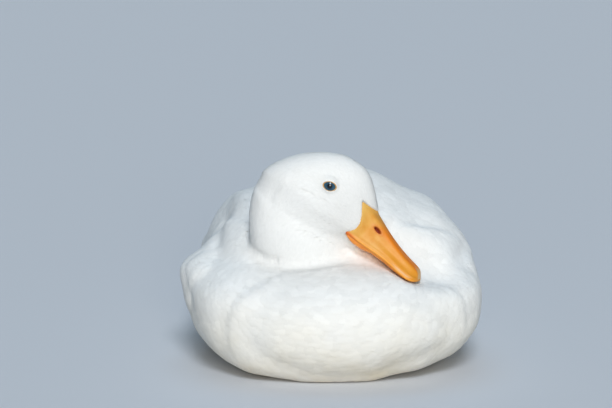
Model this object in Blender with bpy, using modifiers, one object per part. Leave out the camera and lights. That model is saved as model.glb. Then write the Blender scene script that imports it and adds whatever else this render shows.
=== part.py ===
"""Resting white domestic duck (large white farm duck), life size, as a still model.

Frame: metres, +Z up, the duck faces -Y, its left side is +X, and it rests on the plane z = 0.
The design below is written in millimetres in a frame whose y = 0 is the foremost point of the
breast, and everything is moved by FRAME_SHIFT at the end so that the origin lies under the middle
of the whole bird.
"""

import math

import bmesh
import bpy
import numpy as np
from mathutils import Matrix, Vector

MM = 0.001
GAP = 0.3  # clearance between neighbouring solids
FRAME_SHIFT = (1.2, -216.95, 0.0)  # millimetres, design frame to part frame

# ---------------------------------------------------------------- helpers


def smooth_curve(xs, ys):
    """A monotone cubic through the points, as a function of x."""
    xs, ys = np.asarray(xs, float), np.asarray(ys, float)
    h = np.diff(xs)
    d = np.diff(ys) / h
    m = np.zeros(len(xs))
    m[0], m[-1] = d[0], d[-1]
    for i in range(1, len(xs) - 1):
        if d[i - 1] * d[i] > 0:
            w1, w2 = 2 * h[i] + h[i - 1], h[i] + 2 * h[i - 1]
            m[i] = (w1 + w2) / (w1 / d[i - 1] + w2 / d[i])

    def at(x):
        x = np.clip(np.asarray(x, float), xs[0], xs[-1])
        i = np.clip(np.searchsorted(xs, x, side="right") - 1, 0, len(xs) - 2)
        t = (x - xs[i]) / h[i]
        return (
            ys[i] * (2 * t**3 - 3 * t**2 + 1)
            + h[i] * m[i] * (t**3 - 2 * t**2 + t)
            + ys[i + 1] * (-2 * t**3 + 3 * t**2)
            + h[i] * m[i + 1] * (t**3 - t**2)
        )

    return at


def spow(v, p):
    return np.sign(v) * np.abs(v) ** p


def step(lo, hi, v):
    t = np.clip((np.asarray(v, float) - lo) / (hi - lo), 0, 1)
    return t * t * (3 - 2 * t)


def bell(v, middle, reach):
    return np.exp(-(((v - middle) / reach) ** 2))


def unevenness(p):
    """How far the resting body and its wings lie off their even forms at each point, in millimetres."""
    x, y, z = np.moveaxis(np.asarray(p, float), -1, 0)
    d = np.zeros(x.shape + (3,))
    # the left shoulder stands out
    d[..., 0] += 4.8 * bell(z, 80, 11) * bell(y, 126, 28) * step(60, 88, x)
    # the breast tucks in low down, more so on the left
    d[..., 0] -= 5.2 * step(45, 78, x) * (1 - step(10, 34, z)) * (1 - step(60, 100, y))
    d[..., 0] += 1.9 * step(40, 80, -x) * (1 - step(16, 40, z)) * (1 - step(80, 110, y))
    under = 4.6 * step(12, 40, x) * (1 - step(66, 92, x)) + 1.9 * step(22, 40, -x) * (1 - step(50, 68, -x))
    d[..., 2] += under * (1 - step(8, 36, z)) * (1 - step(30, 75, y))
    # the right shoulder's lobe laps over the wing behind it
    d[..., 0] -= 3.6 * bell(z, 64, 9) * (1 - step(126, 144, y)) * step(80, 98, -x) * step(88, 108, y)
    d[..., 0] += 6.6 * step(126, 150, y) * (1 - step(165, 235, y)) * step(46, 62, z) * step(60, 85, -x)
    d[..., 0] += 5.5 * bell(y, 128, 20) * step(69, 77, z) * (1 - step(86, 98, z)) * step(70, 88, -x) * (1 - step(126, 150, y))
    # the back slopes away sooner on the left than on the right
    slope = 1.0 * step(-70, -45, x) * (1 - step(70, 88, x)) + 3.9 * step(34, 58, x) * (1 - step(60, 80, x))
    slope = slope + 3.4 * step(-62, -48, x) * (1 - step(-26, 2, x))
    d[..., 2] -= slope * step(86, 100, z) * step(70, 110, y) * (1 - step(250, 320, y))
    return d


for old in list(bpy.data.objects):
    bpy.data.objects.remove(old, do_unlink=True)

duck = bpy.data.collections.new("resting_duck")
tools = bpy.data.collections.new("cutters")
bpy.context.scene.collection.children.link(duck)
bpy.context.scene.collection.children.link(tools)


def material(name, colour, roughness):
    m = bpy.data.materials.new(name)
    m.use_nodes = True
    p = m.node_tree.nodes["Principled BSDF"]
    p.inputs["Base Color"].default_value = (*colour, 1)
    p.inputs["Roughness"].default_value = roughness
    p.inputs["Metallic"].default_value = 0.0
    return m


PLUMAGE = material("plumage_white", (0.90, 0.90, 0.88), 0.85)
HORN = material("bill_orange", (0.93, 0.44, 0.06), 0.38)
NAIL = material("bill_nail", (0.85, 0.62, 0.38), 0.35)
WEB = material("foot_orange", (0.90, 0.38, 0.06), 0.5)
EYE = material("eye_slate", (0.03, 0.06, 0.09), 0.06)


def mesh_object(name, verts, faces, mat, helper=False):
    me = bpy.data.meshes.new(name)
    me.from_pydata([tuple(v) for v in verts], [], [tuple(f) for f in faces])
    me.validate()
    bm = bmesh.new()
    bm.from_mesh(me)
    bmesh.ops.recalc_face_normals(bm, faces=bm.faces[:])
    bmesh.ops.triangulate(bm, faces=bm.faces[:])
    bm.to_mesh(me)
    bm.free()
    ob = bpy.data.objects.new(name, me)
    (tools if helper else duck).objects.link(ob)
    if mat:
        me.materials.append(mat)
    if helper:
        ob.hide_render = True
        ob.display_type = "WIRE"
    return ob


def loft(name, rings, mat=None, helper=False):
    """A closed skin through rings of equal count, each end closed by a fan to its middle."""
    rings = np.asarray(rings, float)
    n, m, _ = rings.shape
    verts = list(rings.reshape(-1, 3)) + [rings[0].mean(0), rings[-1].mean(0)]
    faces = []
    for i in range(n - 1):
        for j in range(m):
            k = (j + 1) % m
            faces.append((i * m + j, i * m + k, (i + 1) * m + k, (i + 1) * m + j))
    for j in range(m):
        k = (j + 1) % m
        faces.append((n * m, k, j))
        faces.append((n * m + 1, (n - 1) * m + j, (n - 1) * m + k))
    return mesh_object(name, np.array(verts) * MM, faces, mat, helper)


def finish_mesh(ob):
    """Bakes the modifiers of an object into its mesh."""
    graph = bpy.context.evaluated_depsgraph_get()
    graph.update()
    me = bpy.data.meshes.new_from_object(ob.evaluated_get(graph))
    ob.modifiers.clear()
    old = ob.data
    ob.data = me
    bpy.data.meshes.remove(old)
    return ob


def voxel(ob, size_mm, smooth=0, factor=0.5):
    r = ob.modifiers.new("Remesh", "REMESH")
    r.mode = "VOXEL"
    r.voxel_size = size_mm * MM
    if smooth:
        s = ob.modifiers.new("Smooth", "SMOOTH")
        s.factor, s.iterations = factor, smooth
    return finish_mesh(ob)


def decimate(ob, triangles):
    tri = sum(len(p.vertices) - 2 for p in ob.data.polygons)
    d = ob.modifiers.new("Decimate", "DECIMATE")
    d.ratio = min(1.0, triangles / tri)
    d.use_collapse_triangulate = True
    return finish_mesh(ob)


def boolean(ob, other, operation="DIFFERENCE"):
    b = ob.modifiers.new(operation.title(), "BOOLEAN")
    b.operation, b.object, b.solver, b.use_self = operation, other, "EXACT", True
    return finish_mesh(ob)


def largest(ob):
    """Keeps the largest connected piece of a mesh."""
    bm = bmesh.new()
    bm.from_mesh(ob.data)
    bmesh.ops.triangulate(bm, faces=bm.faces[:])
    bmesh.ops.remove_doubles(bm, verts=bm.verts[:], dist=2e-6)
    bmesh.ops.dissolve_degenerate(bm, edges=bm.edges[:], dist=1e-6)
    twins = {}
    for f in bm.faces:
        twins.setdefault(frozenset(v.index for v in f.verts), []).append(f)
    fins = [f for group in twins.values() if len(group) > 1 for f in group]
    if fins:
        bmesh.ops.delete(bm, geom=fins, context="FACES_KEEP_BOUNDARY")
    bmesh.ops.delete(bm, geom=[v for v in bm.verts if not v.link_faces], context="VERTS")
    bm.verts.index_update()
    bm.verts.ensure_lookup_table()
    seen, groups = set(), []
    for v in bm.verts:
        if v.index in seen:
            continue
        stack, group = [v], []
        seen.add(v.index)
        while stack:
            w = stack.pop()
            group.append(w)
            for e in w.link_edges:
                o = e.other_vert(w)
                if o.index not in seen:
                    seen.add(o.index)
                    stack.append(o)
        groups.append(group)
    groups.sort(key=len)
    for group in groups[:-1]:
        bmesh.ops.delete(bm, geom=group, context="VERTS")
    bm.to_mesh(ob.data)
    bm.free()
    return ob


def copy_of(ob, name, helper=False):
    new = ob.copy()
    new.data = ob.data.copy()
    new.name = name
    (tools if helper else duck).objects.link(new)
    if helper:
        new.hide_render = True
        new.display_type = "WIRE"
    return new


def grown(ob, name, by_mm):
    """A cutter: the same shape, larger all round."""
    new = copy_of(ob, name, helper=True)
    me = new.data
    normals = np.array([v.normal[:] for v in me.vertices])
    co = np.array([v.co[:] for v in me.vertices])
    me.vertices.foreach_set("co", (co + normals * by_mm * MM).ravel())
    me.update()
    return new


# ---------------------------------------------------------------- the trunk
# Stations run along y from the breast to the tail; half widths, tops, bottoms and the height of the
# widest line are given at a few of them and a monotone cubic fills in between.

LOW_POWER = 3.1  # squareness of the lower sections: flat below, full at the sides
FLOOR_BITE = 4.0  # how far the uncut belly dips below the floor plane before it is cut flat


def body_loft(name, ys, half, top, low, wide, count, around, upper_power=2.0, centre=0.0):
    """Sections across y: a half ellipse above the widest line, a fuller one below it."""
    half, top, low, wide = (smooth_curve(ys, v) for v in (half, top, low, wide))
    angle = np.linspace(0, 2 * np.pi, around, endpoint=False)
    c, s = np.cos(angle), np.sin(angle)
    rings = []
    t = (1 - np.cos(np.linspace(0, 1, count) * np.pi)) / 2
    for y in ys[0] + (ys[-1] - ys[0]) * t:
        p = np.where(s >= 0, upper_power, LOW_POWER)
        rise = np.where(s >= 0, top(y) - wide(y), wide(y) - low(y))
        rings.append(
            np.stack([centre + half(y) * spow(c, 2 / p), np.full_like(angle, y), wide(y) + rise * spow(s, 2 / p)], -1)
        )
    return loft(name, rings)


def back_form():
    ys = [46, 52, 60, 75, 100, 130, 160, 200, 240, 280, 310, 335, 352]
    return body_loft(
        "back_form",
        ys,
        half=[36, 55, 67, 78, 86.5, 91, 91, 86, 76, 64, 52, 42, 34],
        top=[66, 77, 86, 98, 112, 123, 129, 125.5, 116.5, 107.5, 100.5, 94, 89],
        low=[44, 36, 30, 24, 20, 18, 18, 18, 20, 26, 36, 46, 54],
        wide=[56, 60, 64, 67, 69, 70, 70, 70, 70, 70, 69, 68, 68],
        count=34,
        around=48,
        upper_power=2.0,
        centre=5.0,
    )


def belly_form():
    ys = [18, 26, 40, 60, 85, 115, 150, 190, 230, 270, 300, 330, 352]
    return body_loft(
        "belly_form",
        ys,
        half=[54, 72, 88, 98, 103, 104, 101, 96, 89, 78, 66, 50, 36],
        top=[60, 68, 74, 80, 84, 88, 90, 90, 90, 89, 87, 85, 80],
        low=[6, -1, -FLOOR_BITE, -FLOOR_BITE, -FLOOR_BITE, -FLOOR_BITE, -FLOOR_BITE, -FLOOR_BITE, -FLOOR_BITE, 0, 10, 27, 42],
        wide=[42, 44, 46, 48, 50, 51, 52, 54, 57, 60, 62, 64, 66],
        count=34,
        around=48,
        upper_power=2.3,
        centre=1.0,
    )


BREAST_AT = (2.5, 58.0, 38.0)
BREAST_HALF = (83.0, 58.0, 40.5, 42.0)  # across, forward, up, down


def breast_form():
    """The rounded breast: a squared ellipsoid, fuller below."""
    cx, cy, cz = BREAST_AT
    a, b, up, down = BREAST_HALF
    rings = []
    angle = np.linspace(0, 2 * np.pi, 48, endpoint=False)
    c, s = np.cos(angle), np.sin(angle)
    for phi in np.linspace(0.02, math.pi - 0.02, 26):
        u, r = -math.cos(phi), math.sin(phi)
        x = cx + a * r**0.92 * spow(c, 0.94)
        z = cz + np.where(s >= 0, up * r * spow(s, 1.0), down * r**0.8 * spow(s, 0.8))
        rings.append(np.stack([x, np.full_like(x, cy + b * u), z], -1))
    return loft("breast_form", rings)


def ellipse_path(stations, around):
    """A loft of ellipses square to z: (z, centre x, centre y, half x, half y)."""
    st = np.array(stations, float)
    t = np.linspace(0, 1, int(1.6 * len(st)))
    k = np.linspace(0, 1, len(st))
    cols = [smooth_curve(k, st[:, i])(t) for i in range(5)]
    angle = np.linspace(0, 2 * np.pi, around, endpoint=False)
    return [
        np.stack([x + a * np.cos(angle), y + b * np.sin(angle), np.full_like(angle, z)], -1)
        for z, x, y, a, b in zip(*cols)
    ]


# ---------------------------------------------------------------- head pose

HEAD_AT = np.array([9.8, 60.0, 97.4])  # middle of the mouth corners
HEAD_YAW, HEAD_PITCH, HEAD_ROLL = map(math.radians, (-22.0, 32.7, -2.5))
HEAD_TURN = np.array(
    Matrix.Rotation(HEAD_YAW, 3, "Z") @ Matrix.Rotation(HEAD_PITCH, 3, "Y") @ Matrix.Rotation(HEAD_ROLL, 3, "X")
)


def from_head(points):
    """Head frame (x to the bill's tip, y to the bird's left, z to the crown) to the body's."""
    return np.asarray(points, float) @ HEAD_TURN.T + HEAD_AT


HEAD_X = [-76, -74, -70, -63, -54, -43, -31, -20, -11, -4, 2, 8]
head_top = smooth_curve(HEAD_X, [-2, 4.5, 12.2, 21.2, 29.4, 36.6, 41.2, 41.8, 38.8, 33.4, 27.6, 21.5])
head_low = smooth_curve(HEAD_X, [-4, -9, -13, -16, -18, -18.5, -18, -16, -13, -10.5, -9, -8])
head_wide = smooth_curve(HEAD_X, [3, 9, 15, 20.5, 24.4, 26, 25.4, 22.6, 18.6, 15, 12.6, 10])
head_mid = smooth_curve(HEAD_X, [-2, -1, 1, 3, 4.5, 5, 6, 7, 7, 7, 7, 7])


def head_rings(count=20, around=24):
    t = np.linspace(0, 2 * np.pi, around, endpoint=False)
    c, s = np.cos(t), np.sin(t)
    k = (1 - np.cos(np.linspace(0, 1, count) * np.pi)) / 2
    k = 0.55 * k + 0.45 * np.linspace(0, 1, count)
    rings = []
    for x in HEAD_X[0] + (HEAD_X[-1] - HEAD_X[0]) * k:
        zt, zb, w, zm = head_top(x), head_low(x), head_wide(x), head_mid(x)
        z = zm + np.where(s >= 0, zt - zm, zm - zb) * spow(s, 0.97)
        rings.append(from_head(np.stack([np.full_like(t, x), w * spow(c, 0.97), z], -1)))
    return rings


NECK = [  # z, centre x, centre y, half x, half y
    (58, -12, 72, 26, 22),
    (68, -14, 74, 28, 24),
    (77, -19, 76, 34, 27.5),
    (86, -23, 77, 37.5, 29),
    (95, -24, 77, 37.5, 29.5),
    (107, -26, 78, 35.5, 28),
    (118, -28.5, 78, 31.5, 26),
    (128, -31, 79, 25.5, 23),
    (136, -33, 79, 16, 15),
    (139, -34, 79, 7, 7),
]

# ---------------------------------------------------------------- wings

WING = [  # y, centre x, centre z, half thickness, half height, tilt towards up (deg), bend round the body
    (68, 80, 51, 4, 8, 0, 0),
    (75, 85, 51, 9, 16, 0, 0),
    (90, 89, 51, 14, 22, 0, 0),
    (115, 90, 53, 14.5, 26, 2, 2),
    (150, 88, 58, 13, 31, 6, 6),
    (185, 84, 66, 12, 35, 12, 10),
    (220, 76, 73, 11, 35, 20, 11),
    (255, 64, 77.5, 10, 31, 30, 9),
    (290, 50, 82.2, 8.5, 24, 42, 6),
    (320, 37, 84.6, 6.4, 16, 54, 3),
    (345, 26.5, 85.8, 4.6, 11, 62, 1),
    (368, 16, 86.0, 2.2, 6, 66, 0),
]


def wing_rings(side, bulge=0.0, around=14, count=20):
    st = np.array(WING, float)
    k = np.linspace(0, 1, len(st))
    y, x, z, a, b, tilt, bend = (smooth_curve(k, st[:, i])(np.linspace(0, 1, count)) for i in range(7))
    t = np.linspace(0, 2 * np.pi, around, endpoint=False)
    c, s = spow(np.cos(t), 0.85), spow(np.sin(t), 0.85)
    rings = []
    for i in range(count):
        r = math.radians(tilt[i])
        swell = 1 + bulge * math.exp(-(((y[i] - 100) / 45) ** 2))
        inward = 4.0 * np.clip((y[i] - 110) / 60, 0, 1) if side < 0 else 0.0
        px = x[i] - inward - bend[i] * s**2 + a[i] * swell * c * math.cos(r) - b[i] * s * math.sin(r)
        pz = z[i] + a[i] * c * math.sin(r) + b[i] * s * math.cos(r)
        ring = np.stack([side * px, np.full_like(t, y[i]), pz], -1)
        rings.append(ring + unevenness(ring))
    return rings


TAIL = [  # y, half width, top, bottom
    (322, 34, 88, 40),
    (345, 36, 86, 49),
    (370, 38, 84, 58),
    (395, 38, 82.5, 68),
    (415, 34, 81.5, 74.5),
    (428, 24, 81, 77.8),
    (434, 13, 80.8, 79.1),
]


def tail_rings(around=16, count=13):
    st = np.array(TAIL, float)
    k = np.linspace(0, 1, len(st))
    y, w, top, low = (smooth_curve(k, st[:, i])(np.linspace(0, 1, count)) for i in range(4))
    t = np.linspace(0, 2 * np.pi, around, endpoint=False)
    c, s = np.cos(t), np.sin(t)
    return [
        np.stack([w[i] * spow(c, 0.8), np.full_like(t, y[i]), (top[i] + low[i]) / 2 + (top[i] - low[i]) / 2 * s - 0.003 * (w[i] * c) ** 2], -1)
        for i in range(count)
    ]


# ---------------------------------------------------------------- bill

BILL_LENGTH = 56.2  # mouth corner to tip
_b = np.array([0, 10, 20, 30, 40, 50, 57, 61, 64, 65.5, 66]) * BILL_LENGTH / 66
bill_half = smooth_curve(_b, [12.5, 12.2, 11.4, 10.9, 11.5, 12.7, 12.8, 11.4, 8.4, 5.2, 2.0])
_c = np.array([-5, 2, 10, 20, 30, 40, 50, 58, 63, 66]) * BILL_LENGTH / 66
bill_ridge = smooth_curve(_c, [24.0, 22.4, 19.2, 15.4, 11.9, 9.0, 6.9, 5.5, 3.9, 0.6])
bill_flat = smooth_curve(_c, [10.0, 9.0, 6.6, 5.2, 4.9, 5.2, 5.8, 5.4, 3.4, 0.8])
_e = np.array([-2, 8, 15, 30, 40, 50, 58, 63, 66]) * BILL_LENGTH / 66
bill_edge = smooth_curve(_e, [-0.4, -0.8, -1.0, -1.1, -1.5, -2.3, -2.6, -2.2, -1.4])

# where the feathers stop on the upper bill: (x, half width, z) from the middle of the forehead to the mouth corner
FEATHER_LINE = [
    (6.6, 0.0, 21.6),
    (4.4, 3.6, 22.1),
    (0.4, 7.2, 22.8),
    (-4.4, 10.0, 23.4),
    (-2.0, 11.0, 19.4),
    (1.4, 11.8, 14.8),
    (3.7, 12.2, 9.6),
    (3.4, 12.4, 5.4),
    (1.0, 12.5, 2.2),
    (-1.8, 12.6, -0.4),
]


def upper_section(x, side_points=10):
    """Half a section of the upper bill, ridge to edge: (half width, z)."""
    w, zc, ze, f = bill_half(x), bill_ridge(x), bill_edge(x), bill_flat(x)
    h = zc - ze
    ctrl = np.array(
        [(0, zc), (0.55 * f, zc - 0.012 * h), (f, zc - 0.07 * h), (0.52 * f + 0.48 * w, ze + 0.55 * h), (0.97 * w, ze + min(0.24 * h, 2.6)), (w, ze + 0.6), (w - 0.15, ze)],
        float,
    )
    t = np.concatenate([[0], np.cumsum(np.linalg.norm(np.diff(ctrl, axis=0), axis=1))])
    k = np.linspace(0, t[-1], side_points)
    return np.stack([smooth_curve(t, ctrl[:, 0])(k), smooth_curve(t, ctrl[:, 1])(k)], -1)


def closed_section(half, under):
    """A full ring from the half section on the left, then the underside, then the right."""
    left = [(y, z) for y, z in half]
    lower = [(y, z) for y, z in under]
    right = [(-y, z) for y, z in half[::-1][:-1]]
    return left + lower + [(-y, z) for y, z in lower[::-1] if y > 1e-6] + right


def upper_bill_rings(count=30):
    rings = []
    line = np.array(FEATHER_LINE)
    for i, k in enumerate(np.linspace(0, 1, count)):
        x = 7.6 + (BILL_LENGTH - 7.6) * (1 - (1 - k) ** 1.35)
        half = upper_section(x, len(line))
        w, ze = bill_half(x), bill_edge(x)
        under = [(w - 1.3, ze - 0.15), (0.5 * w, ze + 0.25), (0.0, ze + 0.35)]
        ring = closed_section(half, under)
        rings.append([(x, y, z) for y, z in ring])
    # the root: a ring on the feather line
    w, ze = bill_half(0), bill_edge(0)
    half = [(y, z) for _, y, z in line]
    under = [(w - 1.3, ze - 0.15), (0.5 * w, ze + 0.25), (0.0, ze + 0.35)]
    xs = list(line[:, 0]) + [-1.0, 1.0, 2.0]
    ring = closed_section(half, under)
    back = xs[::-1]
    xfull = xs + [1.0, -1.0] + list(line[::-1, 0][:-1])
    rings.insert(0, [(x, y, z) for x, (y, z) in zip(xfull, ring)])
    return [from_head(r) for r in rings]


LOWER_GAP = 0.45
_l = [-1.5, 4, 10, 18, 28, 38, 46, 51, 54]
lower_half = smooth_curve(_l, [11.6, 11.2, 10.2, 8.6, 8.4, 9.4, 9.8, 7.6, 2.4])
lower_deep = smooth_curve(_l, [-6.2, -6.2, -5.6, -4.6, -4.6, -5.2, -5.4, -4.8, -3.6])


def lower_bill_rings(count=16, around=12):
    """Shallow trough sections: flat above, rounded below, the root slanting forward under the chin."""
    rings = []
    a = np.linspace(0, np.pi, around // 2 + 2)
    for k in np.linspace(0, 1, count):
        x = -1.5 + 55.5 * (1 - (1 - k) ** 1.3)
        w, zb, zt = float(lower_half(x)), float(lower_deep(x)), float(bill_edge(x)) - LOWER_GAP
        lead = 9.5 * max(0.0, 1 - (x + 1.5) / 24)
        row = []
        for q in a:
            y, drop = w * math.cos(q), math.sin(q) ** 0.8 if 0 < q < 3.14 else 0.0
            row.append((x + lead * drop, y, zt - (zt - zb) * drop))
        row += [(x, -0.5 * w, zt + 0.05), (x, 0.5 * w, zt + 0.05)]
        rings.append(row)
    return [from_head(r) for r in rings]


def bill_pocket():
    """The hollow the bill lies in among the breast feathers."""
    rings = []
    t = np.linspace(0, 2 * np.pi, 12, endpoint=False)
    for x in (-3, 6, 16, 27, 37, 46, 53, 57.5):
        w = float(bill_half(min(x, 53))) + (1.6 if x < 55 else -3.5)
        low, high = -8.5, float(bill_ridge(min(x, 52))) + 2.0
        z = (low + high) / 2 + (high - low) / 2 * spow(np.sin(t), 0.8)
        rings.append(np.stack([np.full_like(t, x), w * spow(np.cos(t), 0.7), z], -1))
    return loft("bill_pocket", [from_head(r) for r in rings], helper=True)


def feather_block():
    """Everything in front of the feather line, out to well beyond the head."""
    line = np.array(FEATHER_LINE + [(-1.9, 12.4, -3.4), (1.5, 11.0, -7.2), (6.0, 6.5, -9.0), (8.0, 0.0, -9.6)])
    full = np.concatenate([line, (line * [1, -1, 1])[::-1][1:-1]])
    wide = full.copy()
    wide[:, 1] *= 2.6
    wide[:, 2] = (wide[:, 2] - 8) * 2.2 + 8
    ahead = wide.copy()
    ahead[:, 0] = 70
    rings = np.array([full, wide, ahead])
    rings[:2, :, 0] -= GAP
    return loft("feather_block", [from_head(r) for r in rings], helper=True)


# ---------------------------------------------------------------- eyes

EYE_RADIUS = 7.2
EYE_AT = (-28.4, 16.3, 21.1)  # head frame, left eye


def ball(name, centre, radius, mat, rows=7, around=14, helper=False):
    rings = []
    for phi in np.linspace(0.12, math.pi - 0.12, rows):
        t = np.linspace(0, 2 * np.pi, around, endpoint=False)
        r, h = radius * math.sin(phi), -radius * math.cos(phi)
        rings.append(np.stack([centre[0] + r * np.cos(t), np.full_like(t, centre[1] + h), centre[2] + r * np.sin(t)], -1))
    return loft(name, [from_head(x) for x in rings], mat, helper)


# ---------------------------------------------------------------- folded legs
# Each leg lies under the flank: the shank on its side from the hock to the toes, the web flat on the floor.

LEG_X = 47.0
ANKLE_Y = 168.0
TOE_TIPS = [(-24.0, -47.0), (0.0, -64.0), (23.0, -55.0)]  # from the ankle, for the left foot


def tube(side, stations, squash, around=10):
    """A tapering limb: (across, along, height, radius) with its sections square to y."""
    t = np.linspace(0, 2 * np.pi, around, endpoint=False)
    return [
        np.stack([side * (LEG_X + x) + r * np.cos(t), np.full_like(t, ANKLE_Y + y), z + squash * r * np.sin(t)], -1)
        for x, y, z, r in stations
    ]


def web_rings(side):
    """The webbed sole in plan, three scalloped edges between the toes, as a thin slab lying on the floor."""
    plan = [(-6.0, 5.0), (-11.0, -16.0)]
    for k, (x, y) in enumerate(TOE_TIPS):
        plan += [(x - 3.0, y + 5.0), (x, y), (x + 3.0, y + 5.0)]
        if k < 2:
            nx, ny = TOE_TIPS[k + 1]
            plan.append(((x + nx) / 2, (y + ny) / 2 + 11.0))
    plan += [(11.0, -16.0), (6.0, 5.0)]
    plan = np.array([(side * (LEG_X + x), ANKLE_Y + y) for x, y in plan])
    return [np.column_stack([plan, np.full(len(plan), z)]) for z in (-1.5, 3.2)]


def leg(side, name):
    """Shank, web and toes grown together, then cut flat where they lie on the floor."""
    shank = [(0, 70, 11, 3.5), (0, 63, 10.6, 7.0), (0, 46, 9.0, 6.2), (0, 24, 7.2, 5.2), (0, 4, 5.0, 5.2), (0, -8, 3.0, 4.6)]
    ob = loft(name, tube(side, shank, 0.9, 14), WEB)
    more = [loft(name + "_web", web_rings(side), helper=True)]
    for x, y in TOE_TIPS:
        toe = [(x * k, -2 + (y + 2) * k, 1.6, r) for k, r in ((0.0, 4.8), (0.35, 4.2), (0.75, 3.7), (0.98, 2.6))]
        more.append(loft(name + "_toe", tube(side, toe, 0.8), helper=True))
    with bpy.context.temp_override(active_object=ob, object=ob, selected_editable_objects=[ob] + more, selected_objects=[ob] + more):
        bpy.ops.object.join()
    ob.data.materials.clear()
    ob.data.materials.append(WEB)
    voxel(ob, 0.9, smooth=3)
    decimate(ob, 330)
    boolean(ob, floor_block(name + "_floor"))
    return largest(ob)


def leg_pocket(side, name):
    """The hollow under the flank feathers that a folded leg lies in: (along, half width, height)."""
    rings = []
    for y, w, h in ((-68, 20, 7.5), (-58, 30.5, 9), (-38, 30.5, 9.5), (-12, 19, 12), (4, 12, 14.5), (60, 11, 21), (74, 9, 21)):
        half = [(-w, -4), (-w, 0.55 * h), (-0.55 * w, h), (0.55 * w, h), (w, 0.55 * h), (w, -4)]
        rings.append([(side * (LEG_X + x), ANKLE_Y + y, z) for x, z in half])
    return loft(name, rings, helper=True)


def floor_block(name):
    corners = [(-310, -190), (290, -210), (310, 690), (-290, 710)]
    return loft(name, [[(x, y, z) for x, y in corners] for z in (-60, 0)], helper=True)


# ---------------------------------------------------------------- building

parts = [back_form(), belly_form(), breast_form()]
trunk = parts[0]
trunk.name = trunk.data.name = "trunk"
with bpy.context.temp_override(active_object=trunk, object=trunk, selected_editable_objects=parts, selected_objects=parts):
    bpy.ops.object.join()
trunk.data.materials.clear()
trunk.data.materials.append(PLUMAGE)
voxel(trunk, 2.2, smooth=14)
_co = np.array([v.co[:] for v in trunk.data.vertices]) / MM
trunk.data.vertices.foreach_set("co", ((_co + unevenness(_co)) * MM).ravel())
decimate(trunk, 1050)

head = loft("head", head_rings(), PLUMAGE)
neck = loft("neck", ellipse_path(NECK, 18), PLUMAGE)
wing_l = loft("wing_left", wing_rings(1), PLUMAGE)
wing_r = loft("wing_right", wing_rings(-1, bulge=0.12), PLUMAGE)
tail = loft("tail", tail_rings(), PLUMAGE)
bill_upper = loft("bill_upper", upper_bill_rings(18), HORN)
bill_lower = loft("bill_lower", lower_bill_rings(), HORN)
eye_l = ball("eye_left", EYE_AT, EYE_RADIUS, EYE)
eye_r = ball("eye_right", (EYE_AT[0], -EYE_AT[1], EYE_AT[2]), EYE_RADIUS, EYE)
leg_l, leg_r = leg(1, "leg_left"), leg(-1, "leg_right")

# the head stops at the feather line and makes room for the eyes; each piece then makes room for the last
boolean(head, feather_block())
for n, piece in enumerate((bill_lower, bill_upper)):
    boolean(head, grown(piece, f"head_bill_seat_{n}", GAP))
for eye in (eye_l, eye_r):
    boolean(head, grown(eye, eye.name + "_seat", GAP))
head_seat = grown(loft("head_whole", head_rings(15, 18), helper=True), "head_seat", 1.0)
boolean(neck, head_seat)
boolean(neck, grown(bill_lower, "neck_bill_seat", GAP + 0.4))
neck_seat = grown(loft("neck_whole", ellipse_path(NECK, 16), helper=True), "neck_seat", 0.9)
boolean(trunk, head_seat)
boolean(trunk, neck_seat)
boolean(trunk, bill_pocket())
for n, piece in enumerate((wing_l, wing_r)):
    boolean(trunk, grown(piece, f"wing_seat_{n}", GAP))
for n, (a, b) in enumerate(((trunk, tail),)):
    boolean(a, grown(tail, "tail_seat", GAP))
for n, piece in enumerate((wing_l, wing_r)):
    boolean(piece, grown(tail, f"wing_tail_seat_{n}", GAP))
boolean(trunk, floor_block("floor_block"))
for side, piece in ((1, leg_l), (-1, leg_r)):
    boolean(trunk, leg_pocket(side, piece.name + "_pocket"))
for ob in (trunk, neck, head, wing_l, wing_r, tail):
    largest(ob)
for ob in duck.objects:
    ob.data.transform(Matrix.Translation(Vector(FRAME_SHIFT) * MM))
    for f in ob.data.polygons:
        f.use_smooth = True
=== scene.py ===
"""Looks of the resting white domestic duck: one skin under mesh plumage, bill, eyes and feet.

All shaping is in millimetres in the design frame of the CAD source (y = 0 at the foremost point of the
breast, the duck facing -Y, its left side +X); to_part() turns that into the part's metres.
"""

import math

import bmesh
import bpy
import numpy as np
from mathutils import Matrix, Vector, noise as perlin
from mathutils.bvhtree import BVHTree


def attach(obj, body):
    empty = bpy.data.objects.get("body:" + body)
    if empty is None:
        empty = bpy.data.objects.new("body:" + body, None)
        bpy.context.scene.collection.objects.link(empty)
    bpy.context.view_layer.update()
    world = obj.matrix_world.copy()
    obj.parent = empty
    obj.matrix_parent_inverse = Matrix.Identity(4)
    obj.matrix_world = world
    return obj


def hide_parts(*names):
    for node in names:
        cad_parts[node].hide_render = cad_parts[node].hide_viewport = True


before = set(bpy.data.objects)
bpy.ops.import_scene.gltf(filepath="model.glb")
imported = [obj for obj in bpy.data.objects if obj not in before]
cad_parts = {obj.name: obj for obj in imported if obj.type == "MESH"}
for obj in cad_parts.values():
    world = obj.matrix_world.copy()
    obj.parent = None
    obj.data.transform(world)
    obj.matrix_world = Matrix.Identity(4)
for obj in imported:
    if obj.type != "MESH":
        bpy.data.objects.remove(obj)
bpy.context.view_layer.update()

MM = 0.001
SHIFT = np.array([1.2, -216.95, 0.0])
rng = np.random.default_rng(20)
scene = bpy.context.scene


def to_part(p):
    return (np.asarray(p, float) + SHIFT) * MM


# ---------------------------------------------------------------- camera


def unit(v, axis=-1):
    v = np.asarray(v, float)
    return v / np.maximum(np.linalg.norm(v, axis=axis, keepdims=True), 1e-12)


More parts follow.
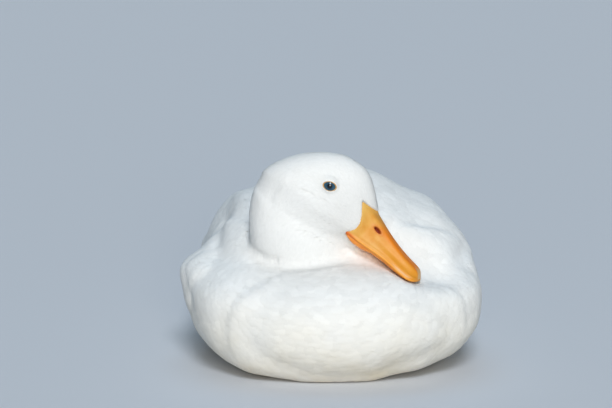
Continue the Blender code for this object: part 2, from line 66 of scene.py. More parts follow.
def camera():
    data = bpy.data.cameras.new("camera")
    data.lens, data.sensor_width = 129.41, 36.0
    data.clip_start, data.clip_end = 0.05, 100
    ob = bpy.data.objects.new("camera", data)
    scene.collection.objects.link(ob)
    pitch, turn = math.radians(9.141), math.radians(5.0)
    forward = Vector((math.sin(turn) * math.cos(pitch), math.cos(turn) * math.cos(pitch), -math.sin(pitch)))
    ob.location = (-0.15037, -1.63032, 0.355)
    ob.rotation_mode = "QUATERNION"
    ob.rotation_quaternion = forward.to_track_quat("-Z", "Y")
    scene.camera = ob


camera()

# ---------------------------------------------------------------- curves and lofts


def smooth_curve(xs, ys):
    """A monotone cubic through the points, as a function of x."""
    xs, ys = np.asarray(xs, float), np.asarray(ys, float)
    h = np.diff(xs)
    d = np.diff(ys) / h
    m = np.zeros(len(xs))
    m[0], m[-1] = d[0], d[-1]
    for i in range(1, len(xs) - 1):
        if d[i - 1] * d[i] > 0:
            w1, w2 = 2 * h[i] + h[i - 1], h[i] + 2 * h[i - 1]
            m[i] = (w1 + w2) / (w1 / d[i - 1] + w2 / d[i])

    def at(x):
        x = np.clip(np.asarray(x, float), xs[0], xs[-1])
        i = np.clip(np.searchsorted(xs, x, side="right") - 1, 0, len(xs) - 2)
        t = (x - xs[i]) / h[i]
        return (
            ys[i] * (2 * t**3 - 3 * t**2 + 1)
            + h[i] * m[i] * (t**3 - 2 * t**2 + t)
            + ys[i + 1] * (-2 * t**3 + 3 * t**2)
            + h[i] * m[i + 1] * (t**3 - t**2)
        )

    return at


def spow(v, p):
    return np.sign(v) * np.abs(v) ** p


def step(lo, hi, v):
    t = np.clip((np.asarray(v, float) - lo) / (hi - lo), 0, 1)
    return t * t * (3 - 2 * t)


def new_mesh(name, verts, faces, smooth=True):
    """verts in the design frame."""
    me = bpy.data.meshes.new(name)
    me.from_pydata(to_part(verts).tolist(), [], [list(map(int, f)) for f in faces])
    me.update()
    if smooth:
        me.shade_smooth()
    ob = bpy.data.objects.new(name, me)
    scene.collection.objects.link(ob)
    return ob


def loft(name, rings):
    rings = np.asarray(rings, float)
    n, m, _ = rings.shape
    verts = np.concatenate([rings.reshape(-1, 3), [rings[0].mean(0), rings[-1].mean(0)]])
    faces = []
    for i in range(n - 1):
        for j in range(m):
            k = (j + 1) % m
            faces.append((i * m + j, i * m + k, (i + 1) * m + k, (i + 1) * m + j))
    for j in range(m):
        k = (j + 1) % m
        faces.append((n * m, k, j))
        faces.append((n * m + 1, (n - 1) * m + j, (n - 1) * m + k))
    ob = new_mesh(name, verts, faces)
    bm = bmesh.new()
    bm.from_mesh(ob.data)
    bmesh.ops.recalc_face_normals(bm, faces=bm.faces[:])
    bm.to_mesh(ob.data)
    bm.free()
    return ob


def bake(ob):
    graph = bpy.context.evaluated_depsgraph_get()
    graph.update()
    me = bpy.data.meshes.new_from_object(ob.evaluated_get(graph))
    ob.modifiers.clear()
    old = ob.data
    ob.data = me
    bpy.data.meshes.remove(old)
    return ob


def joined(obs, name):
    obs[0].name = name
    with bpy.context.temp_override(active_object=obs[0], object=obs[0], selected_editable_objects=obs, selected_objects=obs):
        bpy.ops.object.join()
    return obs[0]


def voxel(ob, size, smooth, factor=0.5):
    r = ob.modifiers.new("Remesh", "REMESH")
    r.mode, r.voxel_size = "VOXEL", size * MM
    if smooth:
        s = ob.modifiers.new("Smooth", "SMOOTH")
        s.factor, s.iterations = factor, smooth
    return bake(ob)


# ---------------------------------------------------------------- the body's forms (as in the CAD source)

LOW_POWER, FLOOR_BITE = 3.1, 4.0


def bell(v, middle, reach):
    return np.exp(-(((v - middle) / reach) ** 2))


def unevenness(p):
    """How far the resting body and its wings lie off their even forms at each point, in millimetres."""
    x, y, z = np.moveaxis(np.asarray(p, float), -1, 0)
    d = np.zeros(x.shape + (3,))
    # the left shoulder stands out
    d[..., 0] += 4.8 * bell(z, 80, 11) * bell(y, 126, 28) * step(60, 88, x)
    # the breast tucks in low down, more so on the left
    d[..., 0] -= 5.2 * step(45, 78, x) * (1 - step(10, 34, z)) * (1 - step(60, 100, y))
    d[..., 0] += 1.9 * step(40, 80, -x) * (1 - step(16, 40, z)) * (1 - step(80, 110, y))
    under = 4.6 * step(12, 40, x) * (1 - step(66, 92, x)) + 1.9 * step(22, 40, -x) * (1 - step(50, 68, -x))
    d[..., 2] += under * (1 - step(8, 36, z)) * (1 - step(30, 75, y))
    # the right shoulder's lobe laps over the wing behind it
    d[..., 0] -= 3.6 * bell(z, 64, 9) * (1 - step(126, 144, y)) * step(80, 98, -x) * step(88, 108, y)
    d[..., 0] += 6.6 * step(126, 150, y) * (1 - step(165, 235, y)) * step(46, 62, z) * step(60, 85, -x)
    d[..., 0] += 5.5 * bell(y, 128, 20) * step(69, 77, z) * (1 - step(86, 98, z)) * step(70, 88, -x) * (1 - step(126, 150, y))
    # the back slopes away sooner on the left than on the right
    slope = 1.0 * step(-70, -45, x) * (1 - step(70, 88, x)) + 3.9 * step(34, 58, x) * (1 - step(60, 80, x))
    slope = slope + 3.4 * step(-62, -48, x) * (1 - step(-26, 2, x))
    d[..., 2] -= slope * step(86, 100, z) * step(70, 110, y) * (1 - step(250, 320, y))
    return d


def body_loft(name, ys, half, top, low, wide, upper_power=2.0, centre=0.0, count=70, around=96):
    half, top, low, wide = (smooth_curve(ys, v) for v in (half, top, low, wide))
    angle = np.linspace(0, 2 * np.pi, around, endpoint=False)
    c, s = np.cos(angle), np.sin(angle)
    rings = []
    t = (1 - np.cos(np.linspace(0, 1, count) * np.pi)) / 2
    for y in ys[0] + (ys[-1] - ys[0]) * t:
        p = np.where(s >= 0, upper_power, LOW_POWER)
        rise = np.where(s >= 0, top(y) - wide(y), wide(y) - low(y))
        rings.append(np.stack([centre + half(y) * spow(c, 2 / p), np.full_like(angle, y), wide(y) + rise * spow(s, 2 / p)], -1))
    return loft(name, rings)


def trunk_form():
    back = body_loft(
        "back",
        [46, 52, 60, 75, 100, 130, 160, 200, 240, 280, 310, 335, 352],
        half=[36, 55, 67, 78, 86.5, 91, 91, 86, 76, 64, 52, 42, 34],
        top=[66, 77, 86, 98, 112, 123, 129, 125.5, 116.5, 107.5, 100.5, 94, 89],
        low=[44, 36, 30, 24, 20, 18, 18, 18, 20, 26, 36, 46, 54],
        wide=[56, 60, 64, 67, 69, 70, 70, 70, 70, 70, 69, 68, 68],
        centre=5.0,
    )
    belly = body_loft(
        "belly",
        [18, 26, 40, 60, 85, 115, 150, 190, 230, 270, 300, 330, 352],
        half=[54, 72, 88, 98, 103, 104, 101, 96, 89, 78, 66, 50, 36],
        top=[60, 68, 74, 80, 84, 88, 90, 90, 90, 89, 87, 85, 80],
        low=[6, -1] + [-FLOOR_BITE] * 7 + [0, 10, 27, 42],
        wide=[42, 44, 46, 48, 50, 51, 52, 54, 57, 60, 62, 64, 66],
        upper_power=2.3,
        centre=1.0,
    )
    cx, cy, cz = 2.5, 58.0, 38.0
    a, b, up, down = 83.0, 58.0, 40.5, 42.0
    rings = []
    angle = np.linspace(0, 2 * np.pi, 80, endpoint=False)
    c, s = np.cos(angle), np.sin(angle)
    for phi in np.linspace(0.02, math.pi - 0.02, 44):
        u, r = -math.cos(phi), math.sin(phi)
        x = cx + a * r**0.92 * spow(c, 0.94)
        z = cz + np.where(s >= 0, up * r * s, down * r**0.8 * spow(s, 0.8))
        rings.append(np.stack([x, np.full_like(x, cy + b * u), z], -1))
    breast = loft("breast", rings)
    trunk = voxel(joined([back, belly, breast], "trunk_form"), 2.2, 14)
    co, _ = mesh_arrays(trunk.data)
    set_co(trunk.data, co + unevenness(co))
    return trunk


HEAD_AT = np.array([9.8, 60.0, 97.4])
HEAD_YAW, HEAD_PITCH, HEAD_ROLL = map(math.radians, (-22.0, 32.7, -2.5))
HEAD_TURN = np.array(Matrix.Rotation(HEAD_YAW, 3, "Z") @ Matrix.Rotation(HEAD_PITCH, 3, "Y") @ Matrix.Rotation(HEAD_ROLL, 3, "X"))


def from_head(points):
    return np.asarray(points, float) @ HEAD_TURN.T + HEAD_AT


def to_head(points):
    return (np.asarray(points, float) - HEAD_AT) @ HEAD_TURN


HEAD_X = [-76, -74, -70, -63, -54, -43, -31, -20, -11, -4, 2, 8]
head_top = smooth_curve(HEAD_X, [-2, 4.5, 12.2, 21.2, 29.4, 36.6, 41.2, 41.8, 38.8, 33.4, 27.6, 21.5])
head_low = smooth_curve(HEAD_X, [-4, -9, -13, -16, -18, -18.5, -18, -16, -13, -10.5, -9, -8])
head_wide = smooth_curve(HEAD_X, [3, 9, 15, 20.5, 24.4, 26, 25.4, 22.6, 18.6, 15, 12.6, 10])
head_mid = smooth_curve(HEAD_X, [-2, -1, 1, 3, 4.5, 5, 6, 7, 7, 7, 7, 7])


def head_form():
    t = np.linspace(0, 2 * np.pi, 72, endpoint=False)
    c, s = np.cos(t), np.sin(t)
    k = (1 - np.cos(np.linspace(0, 1, 60) * np.pi)) / 2
    k = 0.55 * k + 0.45 * np.linspace(0, 1, 60)
    rings = []
    for x in HEAD_X[0] + (HEAD_X[-1] - HEAD_X[0]) * k:
        zt, zb, w, zm = head_top(x), head_low(x), head_wide(x), head_mid(x)
        z = zm + np.where(s >= 0, zt - zm, zm - zb) * spow(s, 0.97)
        rings.append(from_head(np.stack([np.full_like(t, x), w * spow(c, 0.97), z], -1)))
    return loft("head_form", rings)


NECK = np.array(
    [
        (58, -12, 72, 26, 22),
        (68, -14, 74, 28, 24),
        (77, -19, 76, 34, 27.5),
        (86, -23, 77, 37.5, 29),
        (95, -24, 77, 37.5, 29.5),
        (107, -26, 78, 35.5, 28),
        (118, -28.5, 78, 31.5, 26),
        (128, -31, 79, 25.5, 23),
        (136, -33, 79, 16, 15),
        (139, -34, 79, 7, 7),
    ],
    float,
)


def neck_form():
    k = np.linspace(0, 1, len(NECK))
    z, x, y, a, b = (smooth_curve(k, NECK[:, i])(np.linspace(0, 1, 40)) for i in range(5))
    t = np.linspace(0, 2 * np.pi, 60, endpoint=False)
    return loft("neck_form", [np.stack([x[i] + a[i] * np.cos(t), y[i] + b[i] * np.sin(t), np.full_like(t, z[i])], -1) for i in range(40)])


WING = np.array(
    [  # y, centre x, centre z, half thickness, half height, tilt towards up (deg), bend round the body
        (68, 80, 51, 4, 8, 0, 0),
        (75, 85, 51, 9, 16, 0, 0),
        (90, 89, 51, 14, 22, 0, 0),
        (115, 90, 53, 14.5, 26, 2, 2),
        (150, 88, 58, 13, 31, 6, 6),
        (185, 84, 66, 12, 35, 12, 10),
        (220, 76, 73, 11, 35, 20, 11),
        (255, 64, 77.5, 10, 31, 30, 9),
        (290, 50, 82.2, 8.5, 24, 42, 6),
        (320, 37, 84.6, 6.4, 16, 54, 3),
        (345, 26.5, 85.8, 4.6, 11, 62, 1),
        (368, 16, 86.0, 2.2, 6, 66, 0),
    ],
    float,
)
_wk = np.linspace(0, 1, len(WING))
_wc = [smooth_curve(_wk, WING[:, i]) for i in range(7)]
_wy = _wc[0](np.linspace(0, 1, 400))


def wing_at(side, y, t):
    """A point of the folded wing's surface: y along the body, t round the section (0 outermost, pi/2 the upper edge)."""
    y, t = np.broadcast_arrays(np.asarray(y, float), np.asarray(t, float))
    k = np.interp(y, _wy, np.linspace(0, 1, 400))
    _, x, z, a, b, tilt, bend = (f(k) for f in _wc)
    c, s = spow(np.cos(t), 0.85), spow(np.sin(t), 0.85)
    r = np.radians(tilt)
    swell = 1 + (0.12 * np.exp(-(((y - 100) / 45) ** 2)) if side < 0 else 0)
    inward = 4.0 * np.clip((y - 110) / 60, 0, 1) if side < 0 else 0.0
    px = x - inward - bend * s**2 + a * swell * c * np.cos(r) - b * s * np.sin(r)
    pz = z + a * c * np.sin(r) + b * s * np.cos(r)
    p = np.stack([side * px, y, pz], -1)
    return p + unevenness(p)


def wing_form(side):
    t = np.linspace(0, 2 * np.pi, 40, endpoint=False)
    return loft("wing_form", [wing_at(side, y, t) for y in np.linspace(68, 368, 70)])


TAIL = np.array(
    [(322, 34, 88, 40), (345, 36, 86, 49), (370, 38, 84, 58), (395, 38, 82.5, 68), (415, 34, 81.5, 74.5), (428, 24, 81, 77.8), (434, 13, 80.8, 79.1)],
    float,
)
tail_half, tail_top, tail_low = (smooth_curve(TAIL[:, 0], TAIL[:, i]) for i in (1, 2, 3))


def tail_form():
    t = np.linspace(0, 2 * np.pi, 40, endpoint=False)
    c, s = np.cos(t), np.sin(t)
    rings = []
    for y in np.linspace(322, 420, 40):
        w, top, low = tail_half(y), tail_top(y), tail_low(y)
        low = low + (top - 1.6 - low) * step(372, 414, y)
        w = w * (1 - 0.22 * step(395, 420, y))
        rings.append(np.stack([w * spow(c, 0.8), np.full_like(t, y), (top + low) / 2 + (top - low) / 2 * s - 0.003 * (w * c) ** 2], -1))
    return loft("tail_form", rings)


# ---------------------------------------------------------------- bill tables

BILL_LENGTH = 56.2
_b = np.array([0, 10, 20, 30, 40, 50, 57, 61, 64, 65.5, 66]) * BILL_LENGTH / 66
bill_half = smooth_curve(_b, [12.5, 12.2, 11.4, 10.9, 11.5, 12.7, 12.8, 11.4, 8.4, 5.2, 2.0])
_c = np.array([-5, 2, 10, 20, 30, 40, 50, 58, 63, 66]) * BILL_LENGTH / 66
bill_ridge = smooth_curve(_c, [24.0, 22.4, 19.2, 15.4, 11.9, 9.0, 6.9, 5.5, 3.9, 0.6])
bill_flat = smooth_curve(_c, [10.0, 9.0, 6.6, 5.2, 4.9, 5.2, 5.8, 5.4, 3.4, 0.8])
_e = np.array([-2, 8, 15, 30, 40, 50, 58, 63, 66]) * BILL_LENGTH / 66
bill_edge = smooth_curve(_e, [-0.4, -0.8, -1.0, -1.1, -1.5, -2.3, -2.6, -2.2, -1.4])

# where the feathers stop round the bill: (x, half width, z), from the forehead to the mouth corner and under the chin
FEATHER_LINE = np.array(
    [
        (6.6, 0.0, 21.6),
        (4.4, 3.6, 22.1),
        (0.4, 7.2, 22.8),
        (-4.4, 10.0, 23.4),
        (-2.0, 11.0, 19.4),
        (1.4, 11.8, 14.8),
        (3.7, 12.2, 9.6),
        (3.4, 12.4, 5.4),
        (1.0, 12.5, 2.2),
        (-1.8, 12.6, -0.4),
        (-1.9, 12.4, -3.4),
        (1.5, 11.0, -7.2),
        (6.0, 6.5, -9.0),
        (8.0, 0.0, -9.6),
    ]
)
_la = np.degrees(np.arctan2(FEATHER_LINE[:, 2] - 8.0, FEATHER_LINE[:, 1]))[::-1]
feather_x = smooth_curve(_la, FEATHER_LINE[::-1, 0])


def ahead_of_line(h):
    """How far a head-frame point lies on the bill's side of the feather line."""
    angle = np.degrees(np.arctan2(h[:, 2] - 8.0, np.abs(h[:, 1])))
    return h[:, 0] - feather_x(angle)


EYE_RADIUS = 7.2
EYE_AT = np.array([-28.4, 16.3, 21.1])
EYE_OPEN = (4.5, 3.2)  # half length, half height of the opening between the lids


def eye_frame(side):
    """Centre, outward axis, long axis of the opening (towards the bill) and short axis (up), in the head frame."""
    centre = EYE_AT * [1, side, 1]
    axis = unit(np.array([0.17, side * 0.97, 0.15]))
    u = np.array([math.cos(math.radians(18.6)), 0, math.sin(math.radians(18.6))])
    u = unit(u - axis * (u @ axis))
    v = np.cross(axis, u)
    v = v if v[2] > 0 else -v
    return centre, axis, u, v


def opening(u, v):
    """1 on the edge of the eye opening, less inside."""
    a, b = EYE_OPEN
    b = np.where(v > 0, b * 0.96, b * 1.04)
    return (np.abs(u / a) ** 1.85 + np.abs(v / b) ** 1.85) ** (1 / 1.85)


# ---------------------------------------------------------------- the skin

COAT_HEAD, COAT_BODY = 0.9, 1.9


def mesh_arrays(me):
    n = len(me.vertices)
    co = np.empty(n * 3)
    me.vertices.foreach_get("co", co)
    no = np.empty(n * 3)
    me.vertices.foreach_get("normal", no)
    return co.reshape(-1, 3) / MM - SHIFT, no.reshape(-1, 3)


def set_co(me, co):
    me.vertices.foreach_set("co", to_part(co).ravel().astype(np.float32))
    me.update()


def head_ratio(p):
    """1 on the head's form, less inside, more outside; and the head-frame points."""
    h = to_head(p)
    x = np.clip(h[:, 0], -75.9, 8)
    zm = head_mid(x)
    dz = np.where(h[:, 2] > zm, head_top(x) - zm, zm - head_low(x))
    r = np.sqrt((h[:, 1] / head_wide(x)) ** 2 + ((h[:, 2] - zm) / np.maximum(dz, 1)) ** 2)
    beyond = np.maximum(-75.9 - h[:, 0], 0) + np.maximum(h[:, 0] - 8, 0)
    return r + beyond / 20, h


def neck_ratio(p):
    z = np.clip(p[:, 2], 58, 139)
    cx, cy, ax, ay = (smooth_curve(NECK[:, 0], NECK[:, i])(z) for i in range(1, 5))
    return np.sqrt(((p[:, 0] - cx) / ax) ** 2 + ((p[:, 1] - cy) / ay) ** 2) + np.abs(p[:, 2] - z) / 20


def relax(co, edges, rounds, amount, mask=None):
    n = len(co)
    deg = np.bincount(edges.ravel(), minlength=n).astype(float)[:, None]
    deg[deg == 0] = 1
    for _ in range(rounds):
        s = np.zeros_like(co)
        for i in range(co.shape[1]):
            s[:, i] = np.bincount(edges[:, 0], co[edges[:, 1], i], n) + np.bincount(edges[:, 1], co[edges[:, 0], i], n)
        d = (s / deg - co) * amount
        co = co + (d if mask is None else d * mask[:, None])
    return co


def edge_array(me):
    e = np.empty(len(me.edges) * 2, np.int32)
    me.edges.foreach_get("vertices", e)
    return e.reshape(-1, 2)


def refine(ob, where):
    """Splits the edges of the faces whose middles are in the region once."""
    bm = bmesh.new()
    bm.from_mesh(ob.data)
    mid = np.array([f.calc_center_median()[:] for f in bm.faces]) / MM - SHIFT
    chosen = where(mid)
    edges = {e for f, c in zip(bm.faces, chosen) if c for e in f.edges}
    bmesh.ops.subdivide_edges(bm, edges=list(edges), cuts=1, use_grid_fill=True, smooth=0.0)
    bm.to_mesh(ob.data)
    bm.free()


def carve_for_bill(p):
    """Lowers the breast under the bill so that the bill lies in a shallow, soft-sided bed."""
    h = to_head(p)
    x = np.clip(h[:, 0], 0, BILL_LENGTH)
    w = bill_half(np.minimum(x, 50)) + 0.3
    y = np.abs(h[:, 1])
    beyond = np.maximum(h[:, 0] - BILL_LENGTH, 0)
    out = np.hypot(np.maximum(y - w, 0), beyond)
    rim = bill_edge(x) - 1.7
    bottom = np.minimum(-5.6 - COAT_BODY * 0.40 + 2.0 * step(46, 56, h[:, 0]), rim)
    bed = bottom + (rim - bottom) * step(0.4, 1.0, np.maximum(y / w, beyond / 4)) + 0.055 * out**1.75
    ratio, _ = head_ratio(p)
    soft = 2.2 + 3.6 * step(3, 16, out)
    lower = 0.5 * (h[:, 2] + bed - np.sqrt((h[:, 2] - bed) ** 2 + soft**2))
    fade = step(9, 15, h[:, 0]) * (1 - step(16, 48, out)) * step(1.02, 1.10, ratio) * step(-22, -12, h[:, 2] - bed)
    h[:, 2] = h[:, 2] + (lower - h[:, 2]) * fade
    return from_head(h)


def foot_room(x, y):
    """Height of the hollow that a folded leg lies in."""
    d = np.abs(np.abs(x) - 47)
    yy = y - 168
    w = smooth_curve([-70, -58, -38, -12, 4, 60, 76], [18, 31, 31, 20, 13, 12, 9])(yy)
    h = smooth_curve([-70, -58, -38, -12, 4, 60, 76], [7.5, 9, 9.5, 12, 14, 19.5, 19])(yy)
    inside = (1 - step(0.85, 1.25, d / w)) * step(-76, -68, yy) * (1 - step(76, 84, yy))
    return h * inside


# Soft folds of the plumage: points along each, the side that lies lower, depth, and reach on either side (mm).
FOLDS = [
    # the breast's right edge, where it meets the wing's shoulder
    ([(-38.7, 48, 72.4), (-48.4, 44, 69.8), (-58, 40, 66.1), (-68.5, 37, 60), (-76.5, 35, 51), (-80.2, 36, 39.3), (-80.5, 37, 30), (-78.9, 38, 22), (-74, 43, 12)], (-1, 0.7, 0.35), 1.7, 4.5, 12.0),
    # the same on the left
    ([(66, 59, 71), (71, 53, 67.3), (77, 47.5, 63), (81.5, 42.4, 57.7), (85, 40, 47), (85.8, 40, 38.5), (83.5, 39, 28)], (1, 0.7, 0.3), 1.3, 4.0, 11.0),
    # the shoulder's own lobe
    ([(-86, 112, 77), (-92, 112, 74.5), (-96.5, 110, 70.5), (-99, 104, 65.2), (-100, 96, 59), (-99, 87, 52), (-96.5, 77, 44), (-93, 66, 37)], (-0.6, 1, 0), 1.3, 3.0, 5.0),
    # the scapulars against the back
    ([(-88, 140, 80), (-85, 150, 84), (-80.5, 152, 88), (-75, 143, 92.5), (-68, 128, 96), (-62.6, 114, 97.7), (-56, 104, 97.6)], (0.3, 1, 0.5), 2.0, 3.0, 9.0),
    ([(35.9, 77.9, 94.4), (41.4, 85, 97.6), (48.8, 91, 99), (57.2, 95.6, 98.5), (64.6, 98, 96.2), (71.5, 100, 93), (80, 104, 88.3), (89, 112.5, 80.4)], (-0.2, 1, 0.5), 1.6, 3.0, 9.0),
    # the foot of the neck on the breast
    ([(-59, 74, 87), (-55, 68, 83), (-51, 64, 79.3), (-47, 59.5, 75.9), (-43.5, 55.5, 73.6), (-39, 50.5, 72), (-32, 49.5, 73.2), (-20.8, 49, 76), (-8, 51, 78.5)], (-0.5, -0.6, -1), 1.25, 4.6, 7.5),
    # behind the eye, under the cheek and round it
    ([(-36.1, 54.2, 134.6), (-30.2, 51.3, 134.6), (-23.6, 49.1, 134.8), (-17.7, 47.5, 134.7)], (0, 0, 1), 0.5, 2.0, 4.0),
    ([(-48.6, 60.2, 116.7), (-45.4, 57.3, 112.3), (-38.8, 54.1, 110.3), (-31, 51.5, 109), (-26.2, 50.5, 105.6), (-20.8, 50, 101.4), (-14, 50.3, 97.8), (-5.6, 51.9, 95.4), (1.3, 52.5, 94.6)], (-0.3, 0, -1), 0.8, 3.0, 7.0),
    ([(-44, 57.1, 115), (-46.2, 59.3, 120.2), (-44.8, 59.3, 125.7), (-39.4, 55.5, 129.6)], (-1, 0, 0.2), 0.45, 2.0, 4.0),
    ([(-53.5, 66, 118), (-56.5, 70, 108), (-57, 70, 98), (-56, 68.5, 88)], (-1, 0.4, 0), 0.3, 3.0, 7.0),
]


def fold_depth(co):
    """How far the skin sinks at each point along the folds."""
    total = np.zeros(len(co))
    for line, away, depth, near_reach, far_reach in FOLDS:
        k = np.linspace(0, 1, len(line))
        line = np.stack([smooth_curve(k, np.array(line, float)[:, i])(np.linspace(0, 1, 60)) for i in range(3)], -1)
        line = line + unevenness(line)
        lo, hi = line.min(0) - 22, line.max(0) + 22
        i = np.nonzero(((co > lo) & (co < hi)).all(1))[0]
        if not len(i):
            continue
        d = co[i][:, None] - line[None]
        dist = np.linalg.norm(d, axis=2)
        j = dist.argmin(1)
        r = np.arange(len(i))
        side = d[r, j] @ unit(np.array(away, float))
        reach = np.where(side > 0, far_reach, near_reach)
        end = np.sin(np.pi * np.clip(j / 59, 0.0, 1.0)) ** 0.5
        total[i] += depth * end * np.exp(-((dist[r, j] / reach) ** 2))
    return total


def soft_lumps(co):
    """The loose unevenness of down-filled plumage, in mm."""
    out = np.empty(len(co))
    for i, (x, y, z) in enumerate(co.tolist()):
        out[i] = perlin.noise(Vector((x / 21, y / 26, z / 19))) + 0.15 * perlin.noise(Vector((x / 10 + 9, y / 12, z / 9)))
    return out


def build_skin():
    trunk = trunk_form()
    skin = joined([trunk, neck_form(), head_form(), wing_form(1), wing_form(-1), tail_form()], "skin")
    voxel(skin, 2.0, 3)
    refine(skin, lambda p: (head_ratio(p)[0] < 1.08) & (to_head(p)[:, 0] < 9))

    def near_detail(p):
        r, h = head_ratio(p)
        eye = np.minimum(*[np.linalg.norm(h - EYE_AT * [1, s, 1], axis=1) for s in (1, -1)])
        return (r < 1.05) & ((eye < 13.5) | (np.abs(ahead_of_line(h)) < 2.5))

    refine(skin, near_detail)
    me = skin.data
    edges = edge_array(me)
    co, no = mesh_arrays(me)
    ratio, _ = head_ratio(co)
    fold = (1 - step(0.05, 0.34, np.abs(ratio - 1))) * (1 - step(0.05, 0.34, np.abs(neck_ratio(co) - 1)))
    co = relax(co, edges, 160, 0.6, fold)
    ratio, _ = head_ratio(co)
    head = 1 - step(1.03, 1.12, ratio)
    co = relax(co, edges, 3, 0.5, 0.25 + 0.75 * head)
    set_co(me, co)
    co, no = mesh_arrays(me)
    depth = COAT_BODY + (COAT_HEAD - COAT_BODY) * head
    neck = (1 - step(1.03, 1.15, neck_ratio(co))) * (1 - head)
    depth = depth + (1.7 - depth) * neck
    tail = step(350, 385, co[:, 1])
    depth = depth + (1.0 - depth) * tail
    depth = relax(depth[:, None], edges, 60, 0.6)[:, 0]
    co = co - no * depth[:, None]
    collar = (1 - step(1.1, 1.6, neck_ratio(co))) * step(55, 70, co[:, 2])
    lumps = soft_lumps(co) * (0.62 * (1 - head) * step(4, 25, co[:, 2]) * (1 - 0.85 * np.maximum(neck, collar)) + 0.10 * head)
    co = co + no * (lumps - fold_depth(co))[:, None]
    co = carve_for_bill(co)
    # flat underneath, with room for the folded legs
    floor = 1.2 + foot_room(co[:, 0], co[:, 1])
    down = no[:, 2] < -0.2
    co[:, 2] = np.where(down | (co[:, 2] < 1.2), np.maximum(co[:, 2], floor), co[:, 2])
    co = relax(co, edges, 2, 0.4, 1 - head)
    # in front of the feather line the skin dives into the bill's root
    ratio, h = head_ratio(co)
    ahead = ahead_of_line(h)
    sunk = (ratio < 1.05) * step(-0.6, 1.0, ahead) * step(-8, -5, h[:, 0])
    centre = np.stack([np.full(len(h), 0.0), np.full(len(h), 8.0)], -1)
    h[:, 1:] = centre + (h[:, 1:] - centre) * (1 - 0.20 * sunk)[:, None]
    h[:, 0] -= 1.5 * sunk
    # the lids
    dead = np.zeros(len(h), bool)
    for side in (1, -1):
        c, a, u, v = eye_frame(side)
        q = h - c
        w0, u0, v0 = q @ a, q @ u, q @ v
        e = opening(u0, v0)
        near = (w0 > 0) & (e < 2.6) & (ratio < 1.1)
        dead |= near & (e < 0.45)
        e2 = np.where(e < 2.6, 1.0 + (e - 0.45) * (1.6 / 2.15), e)
        k = np.where(near, e2 / np.maximum(e, 1e-6), 1)
        u1, v1 = u0 * k, v0 * k
        lid = np.sqrt(np.maximum((EYE_RADIUS + 0.35) ** 2 - u1**2 - v1**2, 0))
        ridge = 0.10 * np.exp(-(((e2 - 1.20) / 0.18) ** 2)) * (1 + 0.5 * (v1 > 0))
        over = 0.5 * (lid + w0 + np.sqrt((lid - w0) ** 2 + 0.5))
        blend = step(0.98, 1.25, e2)
        away = step(1.9, 2.6, e2)
        w1 = (lid * (1 - blend) + over * blend) * (1 - away) + w0 * away + ridge
        moved = c + u1[:, None] * u + v1[:, None] * v + w1[:, None] * a
        h = np.where((near & ~dead)[:, None], moved, h)
    co = from_head(h)
    set_co(me, co)
    bm = bmesh.new()
    bm.from_mesh(me)
    bm.verts.ensure_lookup_table()
    gone = [bm.verts[i] for i in np.nonzero(dead)[0]]
    bmesh.ops.delete(bm, geom=gone, context="VERTS")
    bmesh.ops.triangulate(bm, faces=bm.faces[:])
    rim = [v for v in bm.verts if v.is_boundary]
    if rim:
        hr = to_head(np.array([v.co[:] for v in rim]) / MM - SHIFT)
        for side in (1, -1):
            c, a, u, v = eye_frame(side)
            q = hr - c
            u0, v0 = q @ u, q @ v
            e = opening(u0, v0)
            mine = (q @ a > 0) & (e < 2.0)
            u1, v1 = u0 / e, v0 / e
            w1 = np.sqrt((EYE_RADIUS + 0.25) ** 2 - np.minimum(u1**2 + v1**2, 40))
            hr = np.where(mine[:, None], c + u1[:, None] * u + v1[:, None] * v + w1[:, None] * a, hr)
        for vert, p in zip(rim, to_part(from_head(hr))):
            vert.co = p
    bm.to_mesh(me)
    bm.free()
    me.shade_smooth()
    return skin


skin = build_skin()
print("skin", len(skin.data.vertices), len(skin.data.polygons))

# ---------------------------------------------------------------- materials


def shader(name, colour, rough, **more):
    m = bpy.data.materials.new(name)
    m.use_nodes = True
    p = m.node_tree.nodes["Principled BSDF"]
    p.inputs["Base Color"].default_value = (*colour, 1)
    p.inputs["Roughness"].default_value = rough
    for k, v in more.items():
        p.inputs[k.replace("_", " ")].default_value = v
    return m, m.node_tree, p


def stage_and_lights():
    me = bpy.data.meshes.new("floor")
    me.from_pydata([(-60, -60, 0), (60, -60, 0), (60, 60, 0), (-60, 60, 0)], [], [(0, 1, 2, 3)])
    floor = bpy.data.objects.new("floor", me)
    scene.collection.objects.link(floor)
    m, nt, p = shader("floor_pale", (0.65, 0.66, 0.69), 0.9)
    me.materials.append(m)
    world = bpy.data.worlds.new("studio")
    scene.world = world
    world.use_nodes = True
    bg = world.node_tree.nodes["Background"]
    bg.inputs["Color"].default_value = (0.64, 0.84, 1.0, 1)
    bg.inputs["Strength"].default_value = 0.17

    def lamp(name, azimuth, elevation, angle, strength, colour):
        d = bpy.data.lights.new(name, "SUN")
        d.energy, d.angle, d.color = strength, math.radians(angle), colour
        o = bpy.data.objects.new(name, d)
        scene.collection.objects.link(o)
        a, e = math.radians(azimuth), math.radians(elevation)
        at = Vector((math.sin(a) * math.cos(e), -math.cos(a) * math.cos(e), math.sin(e)))
        o.rotation_mode = "QUATERNION"
        o.rotation_quaternion = (-at).to_track_quat("-Z", "Y")

    lamp("front_softbox", 0, 41, 18, 1.74, (0.87, 0.925, 0.99))
    lamp("low_softbox", -2, 14, 22, 1.40, (1.0, 0.93, 0.81))
    lamp("rear_softbox", 180, 62, 40, 0.60, (0.55, 0.78, 1.0))
    scene.view_settings.view_transform = "Standard"
    scene.view_settings.look = "None"
    scene.view_settings.exposure = 0.0


stage_and_lights()

# ---------------------------------------------------------------- plumage material


def link(nt, a, b):
    nt.links.new(a, b)


